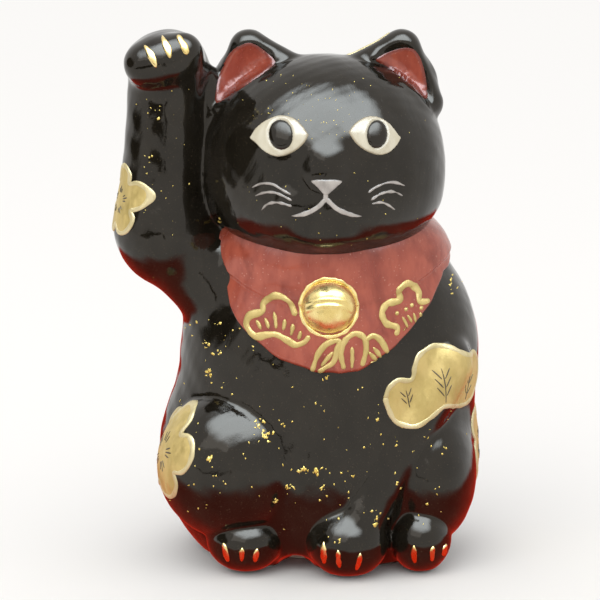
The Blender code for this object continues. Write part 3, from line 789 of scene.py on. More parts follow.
def inside(outline, places):
    """Which places lie within a closed outline."""
    corners = np.array(outline, float)
    ends = np.roll(corners, -1, axis=0)
    x, y = places[:, None, 0], places[:, None, 1]
    spans = (corners[:, 1] > y) != (ends[:, 1] > y)
    rise = np.where(ends[:, 1] == corners[:, 1], 1e-9, ends[:, 1] - corners[:, 1])
    cross = x < (ends[:, 0] - corners[:, 0]) * (y - corners[:, 1]) / rise + corners[:, 0]
    return (spans & cross).sum(axis=1) % 2 == 1


def flowing(line, spacing, closed=False, keep=()):
    """A line through these points with a smooth bend at each, or a corner at the points in keep."""
    line = np.array(line, float)
    count = len(line)
    result = []
    for index in range(count if closed else count - 1):
        if closed:
            before, start, end, after = (line[(index + step) % count] for step in (-1, 0, 1, 2))
        else:
            start, end = line[index], line[index + 1]
            before = line[index - 1] if index > 0 else 2 * start - end
            after = line[index + 2] if index + 2 < count else 2 * end - start
        if index in keep:
            before = 2 * start - end
        if (index + 1) % count in keep:
            after = 2 * end - start
        steps = max(2, int(np.linalg.norm(end - start) / spacing))
        for share in np.arange(steps) / steps:
            pull = np.array([-share + 2 * share**2 - share**3, 2 - 5 * share**2 + 3 * share**3,
                             share + 4 * share**2 - 3 * share**3, share**3 - share**2]) / 2
            result.append(pull[0] * before + pull[1] * start + pull[2] * end + pull[3] * after)
    if not closed:
        result.append(line[-1])
    return np.array(result)


def rim_of(faces):
    """The edges that belong to one face only, each in that face's direction."""
    used = {(face[i], face[(i + 1) % len(face)]) for face in faces for i in range(len(face))}
    return [edge for edge in used if (edge[1], edge[0]) not in used]


def film(hits, out, height, sunk, faces, from_edge):
    """A closed film: its top stands height above the surface and its underside is sunk below it."""
    count = len(hits)
    top = hits + out * height[:, None]
    bottom = hits - out * sunk
    walls = [(b, a, a + count, b + count) for a, b in rim_of(faces)]
    under = [tuple(corner + count for corner in reversed(face)) for face in faces]
    inward = np.concatenate([from_edge, from_edge * 0])
    return np.concatenate([top, bottom]), list(faces) + under + walls, inward


def film_mesh(name, parts):
    """Several films as one mesh in frame metres, facing outwards."""
    points = []
    faces = []
    edges = []
    for spots, corners, from_edge in parts:
        first = sum(len(batch) for batch in points)
        points.append(spots)
        faces += [tuple(first + corner for corner in face) for face in corners]
        edges.append(from_edge)
    mesh = bpy.data.meshes.new(name)
    mesh.from_pydata(placed(np.concatenate(points)).tolist(), [], faces)
    bm = bmesh.new()
    bm.from_mesh(mesh)
    bmesh.ops.recalc_face_normals(bm, faces=bm.faces)
    bm.to_mesh(mesh)
    bm.free()
    attribute = mesh.attributes.new("from_edge", "FLOAT", "POINT")
    attribute.data.foreach_set("value", np.concatenate(edges).astype(np.float32))
    return mesh


def pad_film(
    outline, view=FRONT, tree=None, thickness=0.3, grain=0.5, edge=0.5, dome=0.0, relief=None, sunk=0.35,
):
    """A painted area. edge is how far in its rim is rounded and dome lifts the middle.

    relief(places) adds height to each place.
    """
    outline = np.array(outline, float)
    low, high = outline.min(axis=0), outline.max(axis=0)
    grid = np.array([
        (a + (grain / 2 if row % 2 else 0), b)
        for row, b in enumerate(np.arange(low[1] + grain / 2, high[1], grain * 0.87))
        for a in np.arange(low[0] + grain / 2, high[0], grain)
    ])
    grid = grid[inside(outline, grid)]
    grid = grid[distance_to(outline, grid) > grain * 0.45]
    count = len(outline)
    sides = [(index, (index + 1) % count) for index in range(count)]
    flat, _, faces, _, _, _ = delaunay_2d_cdt(
        [Vector(corner) for corner in [*outline, *grid]], sides, [], 1, 1e-5,
    )
    flat = np.array([tuple(place) for place in flat])
    hits, out = dropped(flat, view, tree or CLAY_TREE)
    from_edge = distance_to(outline, flat)
    share = np.clip(from_edge / edge, 0, 1)
    height = thickness * np.sqrt(1 - (1 - share) ** 2) - 0.05 * (1 - share)
    if dome:
        height = height + dome * np.sqrt(np.clip(1 - (1 - from_edge / from_edge.max()) ** 2, 0, 1))
    if relief:
        height = height + relief(flat)
    return film(hits, out, height, sunk, [tuple(face) for face in faces], from_edge)


BRUSH_ROWS = np.array([-1.0, -0.82, -0.5, 0.0, 0.5, 0.82, 1.0])


def stroke_film(
    line, width, view=FRONT, tree=None, thickness=0.28, tips=(0.35, 0.35), wobble=0.12, seed=1, spacing=0.3,
):
    """One stroke of a loaded brush. tips are the shares of the width left at its start and end."""
    random = np.random.default_rng(seed)
    line = flowing(line, spacing)
    along = np.gradient(line, axis=0)
    along /= np.linalg.norm(along, axis=1)[:, None]
    side = np.stack([-along[:, 1], along[:, 0]], axis=1)
    travel = np.concatenate([[0], np.cumsum(np.linalg.norm(np.diff(line, axis=0), axis=1))])
    total = travel[-1]
    tip = width * 0.5
    left = total - travel
    round_start, round_end = (
        np.sqrt(np.clip(1 - (1 - gap / tip) ** 2, 0, 1) * (gap < tip) + (gap >= tip))
        for gap in (travel, left)
    )
    share = travel / total
    swell = tips[0] + (1 - tips[0]) * np.clip(share / 0.3, 0, 1) ** 0.8
    swell = np.minimum(swell, tips[1] + (1 - tips[1]) * np.clip((1 - share) / 0.3, 0, 1) ** 0.8)
    waves = sum(
        random.normal() * np.sin(travel * pace + random.uniform(0, 6.28)) for pace in (0.9, 1.7, 3.1)
    )
    half = width / 2 * swell * (1 + wobble * 0.5 * waves) * np.minimum(round_start, round_end)
    half = np.maximum(half, 0.03)
    flat = np.concatenate([line + side * (half * row)[:, None] for row in BRUSH_ROWS])
    hits, out = dropped(flat, view, tree or CLAY_TREE)
    profile = np.sqrt(np.clip(1 - BRUSH_ROWS**2, 0, 1)) - 0.12
    height = np.concatenate([thickness * np.minimum(1, half / (width * 0.25)) * level for level in profile])
    from_edge = np.concatenate([half * (1 - abs(row)) for row in BRUSH_ROWS])
    count = len(line)
    faces = []
    for row in range(len(BRUSH_ROWS) - 1):
        for index in range(count - 1):
            near = row * count + index
            faces.append((near, near + 1, near + 1 + count, near + count))
    return film(hits, out, height, 0.3, faces, from_edge)


def painted(name, parts, look, replaces=()):
    mesh = film_mesh(name, parts)
    print(name, len(mesh.polygons), "faces")
    return add_piece(name, mesh, look, replaces)


# %% [markdown]
# ## Eyes, nose, mouth and whiskers
# The eyeballs are cream enamel with a thin raised ring round each pupil. The pupil is a thick drop of
# black that catches the light like a wet bead. The nose and mouth are pale strokes, broad at the nose and
# thin at the corners.

# %% Paint the face
RIGHT_EYE = [
    (-11.0, 98.1), (-9.3, 100.6), (-6.9, 102.4), (-4.1, 103.3), (-1.3, 102.9), (0.6, 101.4), (1.9, 99.7),
    (0.9, 98.0), (-1.1, 96.2), (-3.6, 95.0), (-5.8, 94.9), (-8.0, 95.9), (-9.6, 97.3),
]
LEFT_EYE = [
    (10.3, 100.2), (11.8, 101.9), (14.0, 103.0), (16.1, 103.0), (19.0, 101.6), (20.5, 99.9), (21.8, 98.2),
    (20.7, 96.6), (18.9, 95.3), (16.7, 95.1), (14.2, 96.1), (12.0, 97.8),
]
PUPILS = {"right": ((-3.9, 99.3), (2.8, 3.15)), "left": ((16.3, 99.3), (2.4, 2.95))}


def oval(middle, radii, lean=0.0, count=40):
    """An oval outline, leaning by this many degrees."""
    turn = math.radians(lean)
    angles = np.linspace(0, 2 * math.pi, count, endpoint=False)
    a = radii[0] * np.cos(angles)
    b = radii[1] * np.sin(angles)
    return np.stack([middle[0] + a * math.cos(turn) - b * math.sin(turn),
                     middle[1] + a * math.sin(turn) + b * math.cos(turn)], axis=1)


def eye_relief(pupil):
    middle, radii = pupil

    def relief(places):
        ring = np.hypot((places[:, 0] - middle[0]) / radii[0], (places[:, 1] - middle[1]) / radii[1])
        return 0.22 * np.exp(-(((ring - 1.10) / 0.10) ** 2)) - 0.10 * (ring < 0.95)

    return relief


for side, outline, corners in (("right", RIGHT_EYE, (0, 6)), ("left", LEFT_EYE, (0, 6))):
    shape = flowing(outline, 0.35, closed=True, keep=corners)
    white = pad_film(
        shape, grain=0.32, edge=0.5, thickness=0.28, dome=0.45, relief=eye_relief(PUPILS[side]),
    )
    painted(f"painted_{side}_eye_white", [white], "cream_enamel", [f"{side}_eye_white"])
    drop = pad_film(oval(*PUPILS[side]), grain=0.3, edge=0.9, thickness=0.62, dome=0.75, sunk=0.2)
    painted(f"{side}_pupil_drop", [drop], "black_glaze", [f"{side}_pupil"])

NOSE = [
    (2.2, 90.2), (3.8, 90.6), (5.5, 90.6), (7.3, 90.6), (9.1, 90.1), (8.2, 89.1), (7.1, 88.1), (6.1, 87.2),
    (5.5, 86.9), (4.9, 87.3), (3.9, 88.5), (3.0, 89.4),
]
nose = pad_film(flowing(NOSE, 0.35, closed=True), grain=0.3, thickness=0.3, dome=0.15)
philtrum = stroke_film([(5.5, 87.9), (5.5, 86.6), (5.45, 85.4)], 1.15, tips=(0.9, 0.9), wobble=0.05)
painted("painted_nose", [nose, philtrum], "pale_enamel", ["nose_patch"])

MOUTH = {
    "right": [(5.6, 86.4), (4.9, 85.6), (4.2, 84.8), (3.1, 84.0), (1.8, 83.3), (0.0, 82.7), (-1.9, 82.4)],
    "left": [(5.5, 86.4), (6.3, 85.6), (7.0, 84.9), (8.1, 84.0), (9.8, 83.2), (11.6, 82.6), (13.3, 82.3)],
}
for side, line in MOUTH.items():
    lip = stroke_film(line, 1.12, tips=(0.9, 0.08), wobble=0.06, seed=len(side))
    painted(f"painted_mouth_{side}", [lip], "pale_enamel", [f"mouth_{side}_line"])

WHISKERS = {
    "right_whisker_1": [(-10.4, 87.7), (-8.3, 88.8), (-5.9, 88.9), (-4.2, 88.1), (-1.9, 87.0)],
    "right_whisker_2": [(-9.7, 86.0), (-7.8, 86.9), (-5.8, 87.2), (-4.0, 86.8), (-1.7, 85.8)],
    "right_whisker_3": [(-8.3, 83.0), (-7.3, 84.3), (-5.8, 85.0), (-4.1, 85.1), (-1.7, 84.6)],
    "left_whisker_1": [(14.6, 87.3), (16.2, 88.3), (18.5, 89.0), (20.5, 88.9), (22.7, 87.9)],
    "left_whisker_2": [(15.2, 85.7), (17.0, 86.7), (18.9, 87.1), (20.6, 86.8), (22.2, 85.8)],
    "left_whisker_3": [(15.4, 84.9), (17.4, 85.0), (19.0, 84.2), (20.5, 82.9)],
}
for number, (name, line) in enumerate(WHISKERS.items()):
    hair = stroke_film(
        line, 0.62, thickness=0.22, tips=(0.35, 0.7) if "right" in name else (0.6, 0.3), wobble=0.3,
        seed=number,
    )
    painted("painted_" + name, [hair], "pale_enamel", [name])

# %% [markdown]
# ## Ears
# The hollow of each ear is brushed with red enamel. It pools along the lower edge, where it is darker.

# %% Paint the ears
EAR_HOLLOWS = {
    "right": [
        (-11.7, 116.7), (-9.5, 116.1), (-7.2, 114.4), (-5.4, 112.7), (-6.1, 111.7), (-9.5, 109.4),
        (-14.0, 106.4), (-17.4, 104.0), (-18.6, 104.0), (-18.3, 107.4), (-17.1, 111.4), (-14.9, 115.0),
    ],
    "left": [
        (16.6, 113.1), (19.1, 114.4), (22.7, 115.5), (25.2, 115.0), (26.9, 112.1), (27.8, 108.1),
        (28.0, 104.4), (26.2, 105.8), (22.3, 109.1), (19.1, 111.3), (17.0, 112.3),
    ],
}
for side, outline in EAR_HOLLOWS.items():
    shape = flowing(outline, 0.4, closed=True)
    painted(
        f"painted_{side}_ear", [pad_film(shape, grain=0.4, edge=0.7)], "red_glaze",
        [f"{side}_ear_enamel"],
    )

# %% [markdown]
# ## Gold claws
# Three short strokes of gold stand on each paw, pressed hardest in the middle.

# %% Paint the claws
CLAWS = {
    "right_forepaw_claw_1": [(-33.8, 117.3), (-32.8, 116.2), (-31.9, 114.7), (-31.0, 112.7)],
    "right_forepaw_claw_2": [(-30.0, 119.2), (-29.3, 118.0), (-28.5, 116.5), (-28.0, 114.7)],
    "right_forepaw_claw_3": [(-26.7, 119.4), (-25.9, 118.6), (-25.0, 117.2), (-24.3, 115.4)],
    "right_hind_claw_1": [(-16.9, 8.3), (-16.6, 6.8), (-16.3, 5.3), (-15.8, 3.7)],
    "right_hind_claw_2": [(-12.7, 7.6), (-12.8, 6.4), (-12.8, 5.3), (-12.9, 4.2)],
    "right_hind_claw_3": [(-9.4, 7.3), (-9.6, 6.1), (-9.8, 5.0), (-10.0, 3.9)],
    "left_forepaw_claw_1": [(5.2, 9.4), (5.1, 7.7), (5.2, 6.0), (5.4, 4.1)],
    "left_forepaw_claw_2": [(8.3, 8.0), (8.4, 6.5), (8.5, 5.1), (8.8, 3.6)],
    "left_forepaw_claw_3": [(13.2, 7.3), (13.1, 5.9), (12.8, 4.5), (12.3, 2.9)],
    "left_hind_claw_1": [(25.1, 7.8), (25.1, 6.3), (25.2, 4.8), (25.5, 3.3)],
    "left_hind_claw_2": [(29.4, 7.5), (29.2, 6.1), (29.2, 4.9), (29.1, 3.7)],
    "left_hind_claw_3": [(32.3, 7.1), (32.1, 6.1), (32.0, 5.1), (31.8, 4.2)],
}
for number, (name, line) in enumerate(CLAWS.items()):
    claw = stroke_film(
        line, 1.55 if "right_fore" in name else 1.3, thickness=0.36, tips=(0.3, 0.45), wobble=0.16,
        seed=20 + number,
    )
    painted("gilt_" + name, [claw], "claw_gold", [name])

# %% [markdown]
# ## Gold clouds and blossoms
# A cloud and several plum blossoms are laid on the shoulder, the arm and the haunches. Each is a flat
# field of gold with a thicker, paler line drawn round it, and small marks drawn on top with a fine dark
# brush.

# %% Lay the gold fields
SHOULDER_CLOUD = [  # seen from 40 degrees round to the cat's left
    (0.1, 40.2), (0.3, 42.0), (0.9, 43.4), (3.0, 45.0), (5.9, 44.7), (6.4, 47.4), (7.8, 49.9),
    (11.5, 51.6), (15.4, 51.2), (18.8, 49.4), (22.6, 48.2), (26.6, 47.6), (29.2, 45.0), (30.0, 41.4),
    (28.2, 37.6), (25.0, 35.6), (20.2, 35.6), (14.5, 37.1), (12.6, 36.9), (9.6, 34.9), (7.0, 33.5),
    (4.6, 33.6), (2.3, 35.0), (0.8, 37.9),
]
EAR_BACK = [
    (-20.4, 116.6), (-17.0, 115.2), (-13.6, 112.8), (-12.4, 110.6), (-14.6, 109.4), (-18.4, 111.0),
    (-20.8, 113.6),
]


def blossom(middle, notch, petal, lean, count=90):
    """Five petals: the outline reaches notch between petals and notch + petal at their tips."""
    angles = np.linspace(0, 2 * math.pi, count, endpoint=False)
    reach = notch + petal * np.abs(np.sin(2.5 * angles)) ** 0.6
    turned = angles + math.radians(lean)
    return np.stack([middle[0] + reach * np.cos(turned), middle[1] + reach * np.sin(turned)], axis=1)


def drawn_in(outline, inset):
    """The outline pulled towards its own middle by this much."""
    ahead = np.roll(outline, -1, axis=0) - np.roll(outline, 1, axis=0)
    side = np.stack([-ahead[:, 1], ahead[:, 0]], axis=1)
    side /= np.maximum(np.linalg.norm(side, axis=1), 1e-9)[:, None]
    turning = np.sign(
        (outline[:, 0] * np.roll(outline[:, 1], -1) - np.roll(outline[:, 0], -1) * outline[:, 1]).sum()
    )
    return outline + side * inset * turning


def rimmed_field(name, outline, view, marks, node_name, rim_width=1.3, mark_width=0.34):
    """A gold field, the line round it and the fine marks on it."""
    field = pad_film(outline, view=view, grain=0.5, thickness=0.16, edge=0.3)
    painted(name, [field], "gold_enamel", [node_name])
    inner = drawn_in(outline, rim_width * 0.42)
    line = np.concatenate([inner[::2], inner[:2]])
    rim = stroke_film(
        line, rim_width, view=view, thickness=0.34, tips=(0.9, 0.9), wobble=0.14, seed=len(name),
        spacing=0.4,
    )
    painted(name + "_rim", [rim], "gold_rim")
    if marks:
        lines = [
            stroke_film(
                mark, mark_width, view=view, thickness=0.30, tips=(0.5, 0.2), seed=number, spacing=0.25,
            )
            for number, mark in enumerate(marks)
        ]
        painted(name + "_marks", lines, "ink")


def sprig(foot, tip, leaves, length, spread=0.55):
    """A stem with slim leaves on both sides."""
    foot, tip = np.array(foot, float), np.array(tip, float)
    stem = tip - foot
    marks = [[foot, foot + stem * 0.5 + (0.12, 0), tip]]
    forward = stem / np.linalg.norm(stem)
    for index in range(leaves):
        root = foot + stem * (0.15 + 0.7 * index / leaves)
        for hand in (-1, 1):
            turn = hand * spread
            way = np.array([forward[0] * math.cos(turn) - forward[1] * math.sin(turn),
                            forward[0] * math.sin(turn) + forward[1] * math.cos(turn)])
            gap = root + way * 0.5
            marks.append([gap, gap + way * length * 0.5, gap + way * length])
    return marks


cloud_marks = sprig((13.4, 38.4), (12.5, 46.6), 3, 2.9) + sprig((23.0, 36.9), (24.5, 43.4), 2, 2.6)
cloud_marks += sprig((5.9, 37.9), (4.8, 42.2), 2, 2.2)
cloud_shape = flowing(SHOULDER_CLOUD, 0.5, closed=True)
rimmed_field("shoulder_cloud", cloud_shape, from_side(40), cloud_marks, "left_shoulder_gold_cloud")


def petal_marks(middle, inner, outer, lean, each=3):
    """Short strokes that fan out in each petal."""
    marks = []
    for petal in range(5):
        for index in range(each):
            angle = math.radians(lean + 36 + 72 * petal + (index - (each - 1) / 2) * 15)
            way = np.array([math.cos(angle), math.sin(angle)])
            reach = outer - 0.5 * abs(index - (each - 1) / 2)
            marks.append([middle + way * inner, middle + way * (inner + reach) / 2, middle + way * reach])
    return marks


BLOSSOMS = [
    ("arm_blossom", (-3.6, 82.0), 5.6, 2.6, -18, -75, "right_arm_gold_blossom"),
    ("right_haunch_blossom", (-1.5, 27.2), 7.6, 3.2, -30, -60, "right_haunch_gold_blossom"),
    ("left_haunch_blossom", (3.0, 24.6), 6.8, 2.8, 20, 90, "left_haunch_gold_blossom"),
]
for name, middle, notch, petal, lean, angle, node_name in BLOSSOMS:
    marks = petal_marks(np.array(middle), notch * 0.28, notch * 0.62, lean)
    rimmed_field(name, blossom(middle, notch, petal, lean), from_side(angle), marks, node_name, 1.2, 0.42)
ear_shape = flowing(EAR_BACK, 0.4, closed=True)
rimmed_field("ear_back_gold", ear_shape, from_side(180), [], "left_ear_back_gold", 1.0)
ABOVE = ((1, 0, 0), (0, 1, 0))
EAR_CREST = [
    (10.2, -2.4), (12.5, -2.3), (15.0, -2.2), (18.0, -2.1), (19.8, -1.6), (19.6, 0.2), (17.5, 1.2),
    (14.0, 1.4), (11.0, 0.8),
]
crest_gold = pad_film(flowing(EAR_CREST, 0.4, closed=True), ABOVE, thickness=0.16)
painted("ear_crest_gold", [crest_gold], "gold_rim")

# %% [markdown]
# ## Bib and collar
# The bib is modelled in the clay as a soft cloth: a rolled collar under the chin, and a flat sheet that
# falls from it to a rounded edge. It is a grid wrapped round the neck, dropped onto the body alone, so
# that its top runs up under the head and no edge shows there.

# %% Wrap the bib round the neck
BIB_AXIS = np.array((6.0, 0.0))
BIB_EDGE = np.array([  # angle about the axis from the front, positive to the cat's left; lower edge; fold
    (-70, 72.0, 73.0), (-64, 67.2, 69.0), (-61, 62.6, 67.0), (-56, 59.6, 66.0), (-49, 56.3, 64.6),
    (-39, 52.9, 63.0), (-25, 49.2, 61.6), (-8, 46.9, 60.6), (6, 46.3, 60.2), (16, 46.9, 60.4),
    (25, 48.8, 61.0), (36, 52.1, 62.4), (48, 56.6, 64.4), (58, 60.3, 66.2), (66, 63.1, 67.6),
    (74, 65.6, 68.8), (86, 67.2, 69.6), (104, 67.8, 70.0), (125, 67.6, 69.8), (148, 67.2, 69.4),
    (172, 67.0, 69.2), (196, 67.0, 69.2), (218, 67.2, 69.4), (260, 67.6, 69.6), (280, 69.5, 71.0),
    (290, 72.0, 73.0),
], float)
BIB_GRAIN = 0.42
BIB_TOP = 78.0            # height of the upper rim, hidden under the head
BIB_SHEET = 0.75          # how far the sheet stands off the body
COLLAR_ROLL = 0.75        # how much further the roll stands


def under_bib(points):
    """The body that the bib lies on. Behind the raised arm it is the bare torso."""
    torso = blended(TORSO, points)
    arm = blended(ARM, points)
    angle = np.degrees(np.arctan2(points[:, 0] - BIB_AXIS[0], -(points[:, 1] - BIB_AXIS[1])))
    behind = np.clip((-53 - angle) / 8, 0, 1) * np.clip((angle + 165) / 12, 0, 1)
    return joined(torso, arm + behind * 30, 4.5) + waver(points)


def ring_points(angle, height, reach):
    turn = np.radians(angle)
    return np.stack(
        [BIB_AXIS[0] + np.sin(turn) * reach, BIB_AXIS[1] - np.cos(turn) * reach, height], axis=1,
    )


def reach_of(angle, height):
    """How far out from the axis the body lies."""
    outer = np.full(len(angle), 36.0)
    found = np.full(len(angle), np.nan)
    last = under_bib(ring_points(angle, height, outer))
    for reach in np.arange(35.0, 8.0, -0.6):
        here = under_bib(ring_points(angle, height, np.full(len(angle), reach)))
        crossing = np.isnan(found) & (here < 0) & (last >= 0)
        found[crossing] = reach + 0.6 * (-here[crossing]) / (last[crossing] - here[crossing])
        last = here
    return np.where(np.isnan(found), 20.0, found)


def bib_mesh():
    columns = int(2 * math.pi * 25 / BIB_GRAIN)
    rows = int(30 / BIB_GRAIN)
    angles = np.linspace(-70, 290, columns, endpoint=False)
    low = np.interp(angles, BIB_EDGE[:, 0], BIB_EDGE[:, 1])
    fold = np.interp(angles, BIB_EDGE[:, 0], BIB_EDGE[:, 2])
    low = low + 0.12 * np.sin(np.radians(angles) * 17) + 0.08 * np.sin(np.radians(angles) * 29 + 1)
    share = np.linspace(0, 1, rows) ** 0.9
    height = low[:, None] + (BIB_TOP - low)[:, None] * share[None]
    angle = np.repeat(angles, rows)
    height = height.ravel()
    fold = np.repeat(fold, rows) + 0.5 * np.sin(np.radians(angle) * 3 + 1)
    edge = height - np.repeat(low, rows)
    hits = ring_points(angle, height, reach_of(angle, height))
    out = steepest(under_bib, hits, 0.8)
    out /= np.linalg.norm(out, axis=1)[:, None]
    rounding = np.clip(edge / 0.8, 0, 1)
    lift = -0.35 + (BIB_SHEET + 0.35) * np.sqrt(1 - (1 - rounding) ** 2)
    above = np.clip((height - fold) / 1.1 + 0.5, 0, 1)
    swell = above * above * (3 - 2 * above)
    lift += COLLAR_ROLL * swell * np.clip(edge / 1.5, 0, 1)
    lift += 0.10 * np.sin(np.radians(angle) * 6 + height * 0.35) * rounding
    spots = hits + out * lift[:, None]
    quads = []
    for column in range(columns):
        following = (column + 1) % columns
        for row in range(rows - 1):
            here, beside = column * rows + row, following * rows + row
            quads.append((here, beside, beside + 1, here + 1))
    return spots, quads, edge


bib_spots, bib_quads, bib_from_edge = bib_mesh()
BIB_TREE = BVHTree.FromPolygons(bib_spots.tolist(), bib_quads)
bib = bpy.data.meshes.new("bib")
bib.from_pydata(placed(bib_spots).tolist(), [], bib_quads)
attribute = bib.attributes.new("from_edge", "FLOAT", "POINT")
attribute.data.foreach_set("value", bib_from_edge.astype(np.float32))
add_piece("glazed_bib", bib, "red_glaze", ["neck_bib"])
print("bib:", len(bib_quads), "quads")

# %% [markdown]
# ## Gold drawing on the bib
# A pine, a plum and three bamboo leaves are drawn on the bib with one even line of gold, and needles,
# stamens and veins are set inside them.

# %% Draw on the bib
PINE_LINE = [
    (-0.9, 59.0), (-2.4, 62.1), (-5.2, 63.2), (-7.9, 61.4), (-8.3, 59.6), (-11.0, 58.4), (-11.7, 56.3),
    (-9.8, 54.2), (-7.3, 54.7), (-5.2, 54.9), (-2.8, 53.8), (-1.0, 52.9), (0.9, 53.5), (2.1, 55.0),
]
PINE_NEEDLES = [
    [(-9.6, 57.7), (-8.5, 55.7)], [(-7.7, 58.3), (-6.8, 56.0)], [(-5.7, 59.7), (-5.2, 56.1)],
    [(-3.3, 58.3), (-3.7, 55.8)], [(-1.5, 57.4), (-2.0, 54.8)], [(0.2, 56.0), (-0.4, 54.0)],
]
PLUM_LINE = [
    (28.6, 61.0), (26.3, 61.2), (25.9, 63.4), (23.6, 65.3), (21.7, 64.0), (21.7, 61.9), (19.0, 61.3),
    (17.9, 59.4), (18.9, 57.2), (21.2, 56.2), (21.0, 54.4),
]
PLUM_STAMENS = [
    [(22.3, 58.4), (23.6, 55.9)], [(23.4, 58.7), (24.5, 56.9)],
    [(24.8, 59.0), (25.3, 56.8)], [(26.3, 59.0), (26.5, 57.3)],
]
PLUM_DOTS = [(21.2, 59.2), (23.2, 59.9), (24.5, 60.6), (26.6, 59.8)]
LEAVES = {
    "bib_gold_leaf_1": (
        [
            (2.6, 47.1), (3.9, 50.9), (5.9, 53.3), (8.5, 53.9), (8.1, 51.8), (7.2, 49.2), (5.4, 48.0),
            (3.9, 46.9),
        ],
        [[(7.2, 51.6), (5.9, 50.0), (4.6, 48.3)]],
    ),
    "bib_gold_leaf_2": (
        [(9.6, 47.6), (8.9, 51.2), (9.9, 54.1), (12.0, 55.4), (14.0, 54.4), (14.4, 51.8), (13.5, 48.2)],
        [[(11.3, 52.6), (11.4, 50.2), (11.3, 47.8)]],
    ),
    "bib_gold_leaf_3": (
        [(14.2, 53.8), (15.9, 54.8), (17.7, 53.6), (19.2, 50.8)],
        [[(15.9, 52.4), (17.7, 49.9)], [(14.9, 51.4), (17.0, 48.9)]],
    ),
}


def on_bib(line, width, seed, tips=(0.8, 0.8)):
    return stroke_film(line, width, tree=BIB_TREE, thickness=0.32, tips=tips, wobble=0.16, seed=seed)


def bent(line):
    """A straight mark with one point more, so that it can be drawn as a stroke."""
    start, end = np.array(line[0], float), np.array(line[-1], float)
    return [start, (start + end) / 2 + (0.08, 0.05), end]


pine = [on_bib(PINE_LINE, 1.55, 3)] + [
    on_bib(bent(line), 0.85, number, (0.5, 0.4))
    for number, line in enumerate(PINE_NEEDLES)
]
painted("gilt_pine", pine, "gold_enamel", ["bib_gold_pine_line"])
plum = [on_bib(PLUM_LINE, 1.55, 5)] + [
    on_bib(bent(line), 0.6, number, (0.5, 0.4))
    for number, line in enumerate(PLUM_STAMENS)
]
plum += [
    pad_film(oval(dot, (0.5, 0.5), count=14), tree=BIB_TREE, grain=0.3, thickness=0.3, edge=0.4)
    for dot in PLUM_DOTS
]
painted("gilt_plum", plum, "gold_enamel", ["bib_gold_plum_line"])
for number, (name, (outline, veins)) in enumerate(LEAVES.items()):
    lines = [on_bib(outline, 1.35, 30 + number)]
    lines += [
        on_bib(vein if len(vein) > 2 else bent(vein), 0.95, 40 + number, (0.6, 0.6))
        for vein in veins
    ]
    painted("gilt_" + name[4:], lines, "gold_enamel", [name])

# %% [markdown]
# ## Bell
# The bell is a hollow ball pressed flat against the bib. Two ridges run round it above the middle, and a
# thin line of gold paint rings its foot. It is a dome grid: rings of growing radius, pushed out by the
# profile of the ball.

# %% Turn the bell
BELL_MIDDLE = (6.3, 61.0)
BELL_RADIUS = 6.1
BELL_HEIGHT = 4.9
BELL_TILT = math.radians(4)
BELL_RINGS = 34
BELL_TURNS = 96
BELL_RIDGES = [(2.55, 0.42), (1.05, 0.38)]     # height above the middle, and how far each ridge stands out


def bell_film():
    rings, turns = BELL_RINGS, BELL_TURNS
    foot = dropped([BELL_MIDDLE], FRONT, BIB_TREE)[0][0]
    outward = np.array((0.0, -math.cos(BELL_TILT), math.sin(BELL_TILT)))
    across = np.array((1.0, 0.0, 0.0))
    up = np.cross(outward, across)
    spots = [foot + outward * (BELL_HEIGHT - 0.3)]
    share = np.sin(np.linspace(0, math.pi / 2, rings + 1)[1:])
    for ring in share:
        angle = np.linspace(0, 2 * math.pi, turns, endpoint=False)
        a = BELL_RADIUS * ring * np.cos(angle)
        b = BELL_RADIUS * ring * np.sin(angle) * 0.97
        level = (BELL_HEIGHT + 0.7) * np.sqrt(max(0.0, 1 - ring**2)) - 1.0
        for height, proud in BELL_RIDGES:
            arch = b - height + 0.055 * a * a
            level = level + proud * 0.8 * np.exp(-((arch / 0.5) ** 2)) * min(1.0, (1 - ring) * 6)
        level = level + 0.06 * np.sin(a * 1.3 + b * 0.9)
        spots += list(
            foot + np.outer(a, across) + np.outer(b, up) + np.outer(level * np.ones(turns), outward)
        )
    faces = [(0, 1 + index, 1 + (index + 1) % turns) for index in range(turns)]
    for ring in range(rings - 1):
        for index in range(turns):
            following = (index + 1) % turns
            near = 1 + ring * turns
            faces.append((near + index, near + turns + index, near + turns + following, near + following))
    spots = np.array(spots)
    last = 1 + (rings - 1) * turns
    faces.append(tuple(range(last + turns - 1, last - 1, -1)))
    return spots, faces, np.full(len(spots), 5.0)


ring_line = oval(BELL_MIDDLE, (BELL_RADIUS + 0.15, BELL_RADIUS + 0.1))
foot_ring = stroke_film(
    np.concatenate([ring_line, ring_line[:2]]), 0.9,
    tree=BIB_TREE, thickness=0.3, tips=(0.9, 0.9), wobble=0.2, seed=9,
)
painted("turned_bell", [bell_film(), foot_ring], "bell_gold", ["bell"])

# %% [markdown]
# ## Flecks of gold leaf
# Crumbs of gold leaf are blown over the wet glaze. They lie thickest over the haunch, the belly and the
# top of the paws, and thin out elsewhere. Every fleck is a ragged chip with its own outline, laid on the
# skin.

